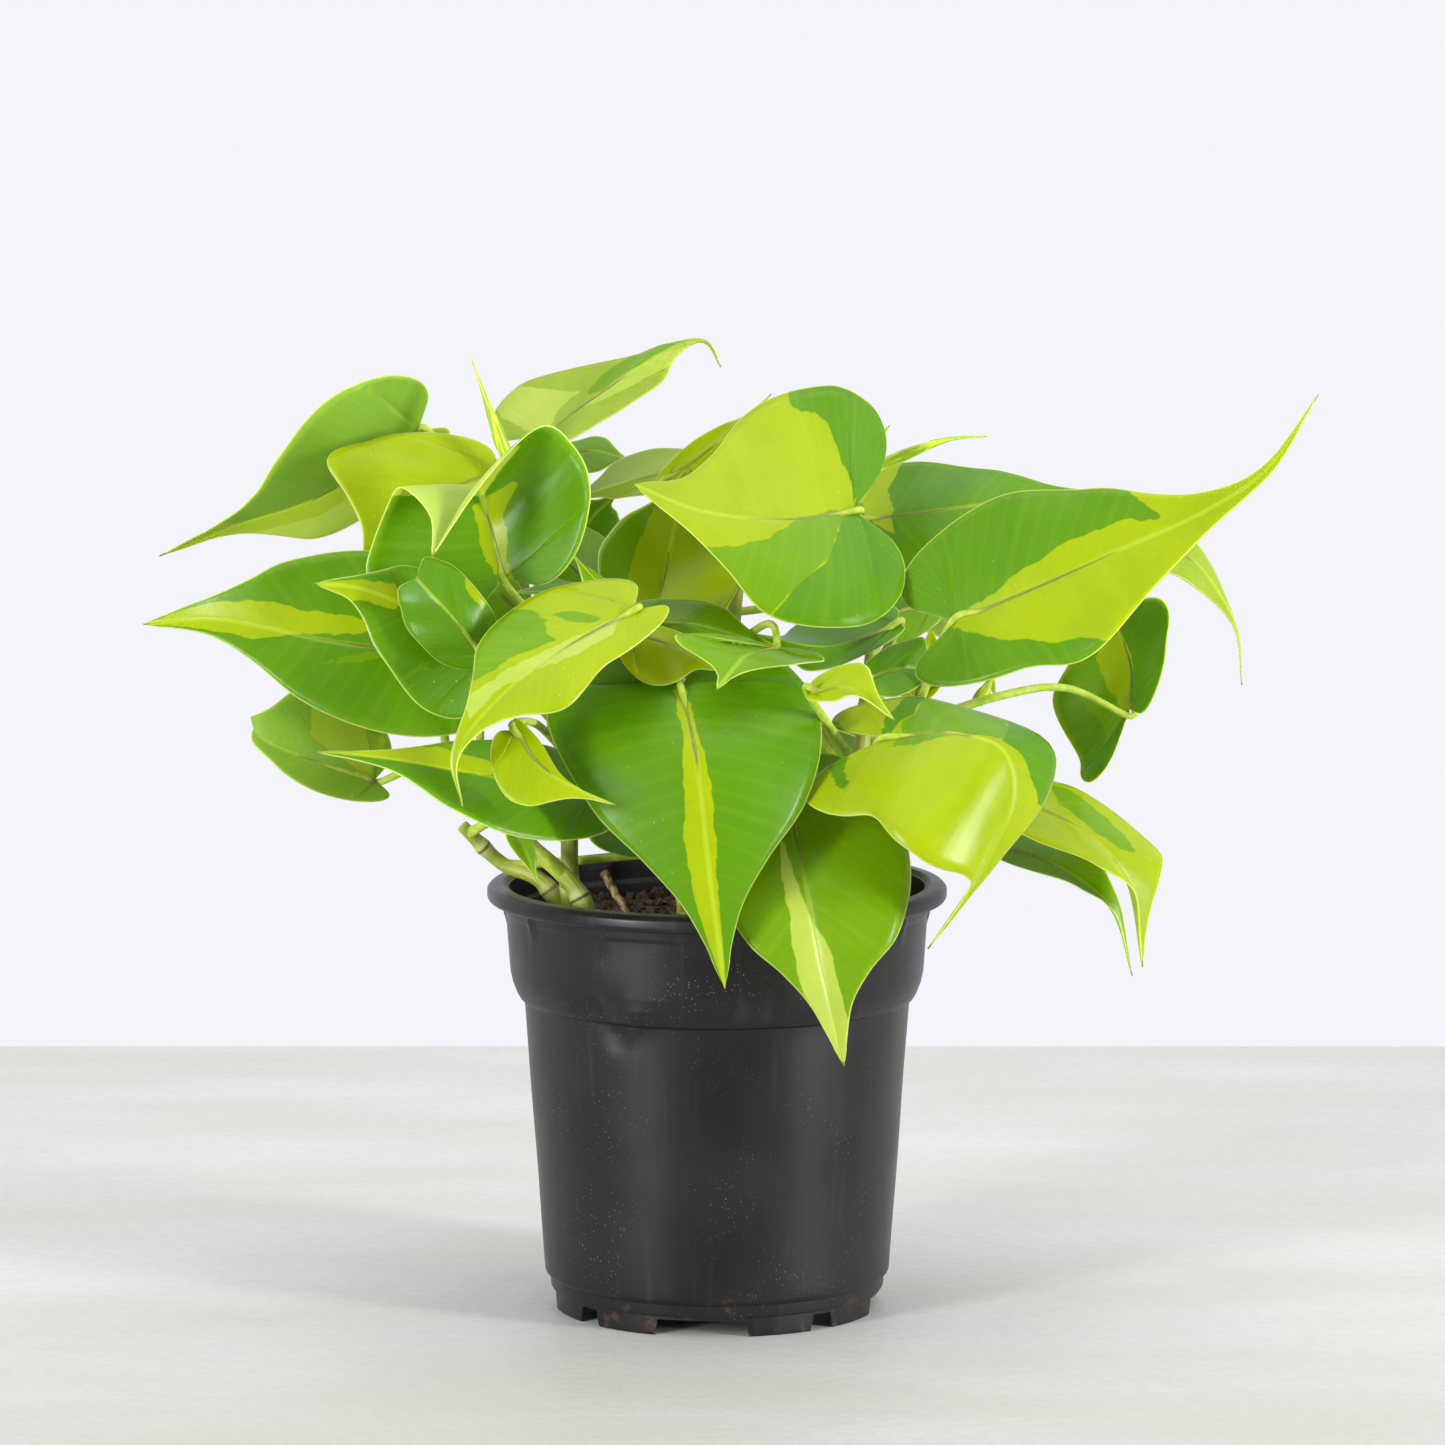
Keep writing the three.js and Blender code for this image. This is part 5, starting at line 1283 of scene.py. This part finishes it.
def build_pot():
    """The turned pot with its notches and holes cut through it."""
    points, faces = turned(profile, POT_TURNS, wall_push)
    pot = make_piece("pot_shell", points, faces, make_plastic(), "nursery_pot")
    fix_normals(pot.data)
    tool = cutters()
    cut = pot.modifiers.new("cut", "BOOLEAN")
    cut.object, cut.operation, cut.solver = tool, "DIFFERENCE", "EXACT"
    graph = bpy.context.evaluated_depsgraph_get()
    finished = bpy.data.meshes.new_from_object(pot.evaluated_get(graph))
    pot.modifiers.clear()
    pot.data = finished
    bpy.data.objects.remove(tool)
    finished.set_sharp_from_angle(angle=math.radians(40))
    return pot


pot = build_pot()
print("the pot has", len(pot.data.polygons), "faces")

# %% [markdown]
# ## Potting mix and the aerial root
# The mix is loose bark and coir, dark and damp. One closed, turned body with a lumpy top fills
# the pot, and a few hundred small chips lie on it. The root that hangs from a joint
# is thin, brown and a little fuzzy, and a finer one runs beside it.

# %% Potting mix
SOIL_TOP = 101


def make_mix_finish():
    """Dark brown crumbs, from nearly black to the red brown of bark."""
    material, tree, shader = new_material("damp_potting_mix", 0.9)
    place = add_node(tree, "TexCoord").outputs["Object"]
    cells = add_node(tree, "TexVoronoi", {"Vector": place, "Scale": 420.0})
    shade = add_node(tree, "SeparateXYZ", {0: cells.outputs["Color"]}).outputs[0]
    fine = noise(tree, place, 900, 4)
    colour = blend_colours(tree, ramp(tree, shade, 0.1, 0.95), screen_colour("1d1510"),
                           screen_colour("55392a"))
    colour = blend_colours(tree, ramp(tree, fine, 0.45, 0.75, 0, 0.6), colour, screen_colour("6b4d3a"))
    tree.links.new(colour, shader.inputs["Base Color"])
    tree.links.new(calculate(tree, "MULTIPLY_ADD", fine, 0.3, 0.6), shader.inputs["Roughness"])
    add_bump(tree, shader, calculate(tree, "SUBTRACT", fine, cells.outputs["Distance"]), 0.0008)
    return material


def build_mix():
    """A closed turned body just inside the wall; its top rises and falls by up to 1.2 mm."""
    line = [(0.2, FLOOR_TOP + 0.4), (43, FLOOR_TOP + 0.4), (48.6, SHOULDER), (52.2, SHOULDER_TOP + 1)]
    line += [(53.0, SOIL_TOP - 1.2)]
    line += [(r, SOIL_TOP + 1.5 * (1 - r / 53)) for r in np.linspace(51.5, 0.2, 48)]
    points, faces = turned(np.array(line, float), 120)
    top = smoothstep(points[:, 2], SOIL_TOP - 1.3, SOIL_TOP - 0.4)
    points[:, 2] += top * (0.9 * waves(points, 9, 2) + 0.6 * waves(points, 3.5, 3))
    mix = make_piece("mix_body", points, faces, mix_finish, "potting_mix")
    fix_normals(mix.data)
    return mix


def build_chips(count=520):
    """Bark chips and crumbs: rough eight-cornered blocks, each scaled, turned and laid on top."""
    rng = np.random.default_rng(12)
    cube = np.array([(x, y, z) for x in (-1, 1) for y in (-1, 1) for z in (-1, 1)], float)
    block = cube * rng.uniform(0.65, 1.1, (count, 8, 3))
    block *= (rng.uniform(0.4, 1.5, (count, 1, 1)) * np.array([1.5, 0.9, 0.5]))
    turn = rng.normal(size=(count, 3, 3))
    turn = np.linalg.qr(turn * np.array([1, 1, 0.55]))[0]
    radius, angle = 50.5 * np.sqrt(rng.uniform(0, 1, count)), rng.uniform(0, 2 * np.pi, count)
    centre = np.stack([radius * np.cos(angle), radius * np.sin(angle),
                       SOIL_TOP + 1.3 * (1 - radius / 53) + rng.uniform(0, 1.1, count)], -1)
    points = (block @ turn + centre[:, None]).reshape(-1, 3)
    sides = np.array([(0, 1, 3, 2), (4, 6, 7, 5), (0, 4, 5, 1),
                      (2, 3, 7, 6), (0, 2, 6, 4), (1, 5, 7, 3)])
    faces = (sides[None] + 8 * np.arange(count)[:, None, None]).reshape(-1, 4)
    chips = make_piece("mix_chips", points, faces, mix_finish, smooth=False)
    fix_normals(chips.data)
    return chips


mix_finish = make_mix_finish()
mix, chips = build_mix(), build_chips()
print("the mix lies", POT_HEIGHT - SOIL_TOP, "mm below the lip, under",
      len(chips.data.polygons) // 6, "chips")

# %% Roots
def make_root_finish():
    """Dry brown skin with paler scaly patches."""
    material, tree, shader = new_material("dry_root_skin", 0.85)
    place = add_node(tree, "TexCoord").outputs["Object"]
    scaly = noise(tree, place, 700, 5)
    colour = blend_colours(tree, ramp(tree, scaly, 0.35, 0.65), screen_colour("5a3c22"),
                           screen_colour("a98f62"))
    tree.links.new(colour, shader.inputs["Base Color"])
    tree.links.new(calculate(tree, "MULTIPLY_ADD", scaly, 0.2, 0.7), shader.inputs["Roughness"])
    add_bump(tree, shader, scaly, 0.0006)
    return material


def build_root(name, route, thick, node=None):
    """A thin knobbly tube that tapers to half its thickness."""
    curve = curve_through(route)

    def radius(s, angle):
        knobs = waves(np.stack(np.broadcast_arrays(s * 9, np.cos(angle), np.sin(angle)), -1), 1.6, 8)
        return thick * (1 - 0.5 * s) * (1 + 0.18 * knobs)

    points, faces = tube(curve, radius, 14, 70)[:2]
    return make_piece(name, points, faces, root_finish, node)


root_finish = make_root_finish()
roots = [
    build_root("root_hanging", [(-29, -30, 119), (-26, -33, 114), (-22, -40, 108), (-20, -43, 102)],
               1.15, "aerial_root"),
    build_root("root_fine", [(-33, -38, 101), (-31, -41, 106), (-27, -43, 108), (-24, -46, 104),
                             (-23, -47, 101)], 0.5),
]
print(len(roots), "roots")

# %% [markdown]
# ## Measure and finish
# The boxes round the imported solids and round the finished pieces are both printed. The
# finished pieces may not be larger than the imported solids, apart from a small allowance.

# %% Print the sizes
seen_box = [list(corner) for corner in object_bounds()]
for name, box in (("solids", cad_box), ("pieces", seen_box)):
    print(name, [[round(v * 1000, 1) for v in corner] for corner in box], "mm")
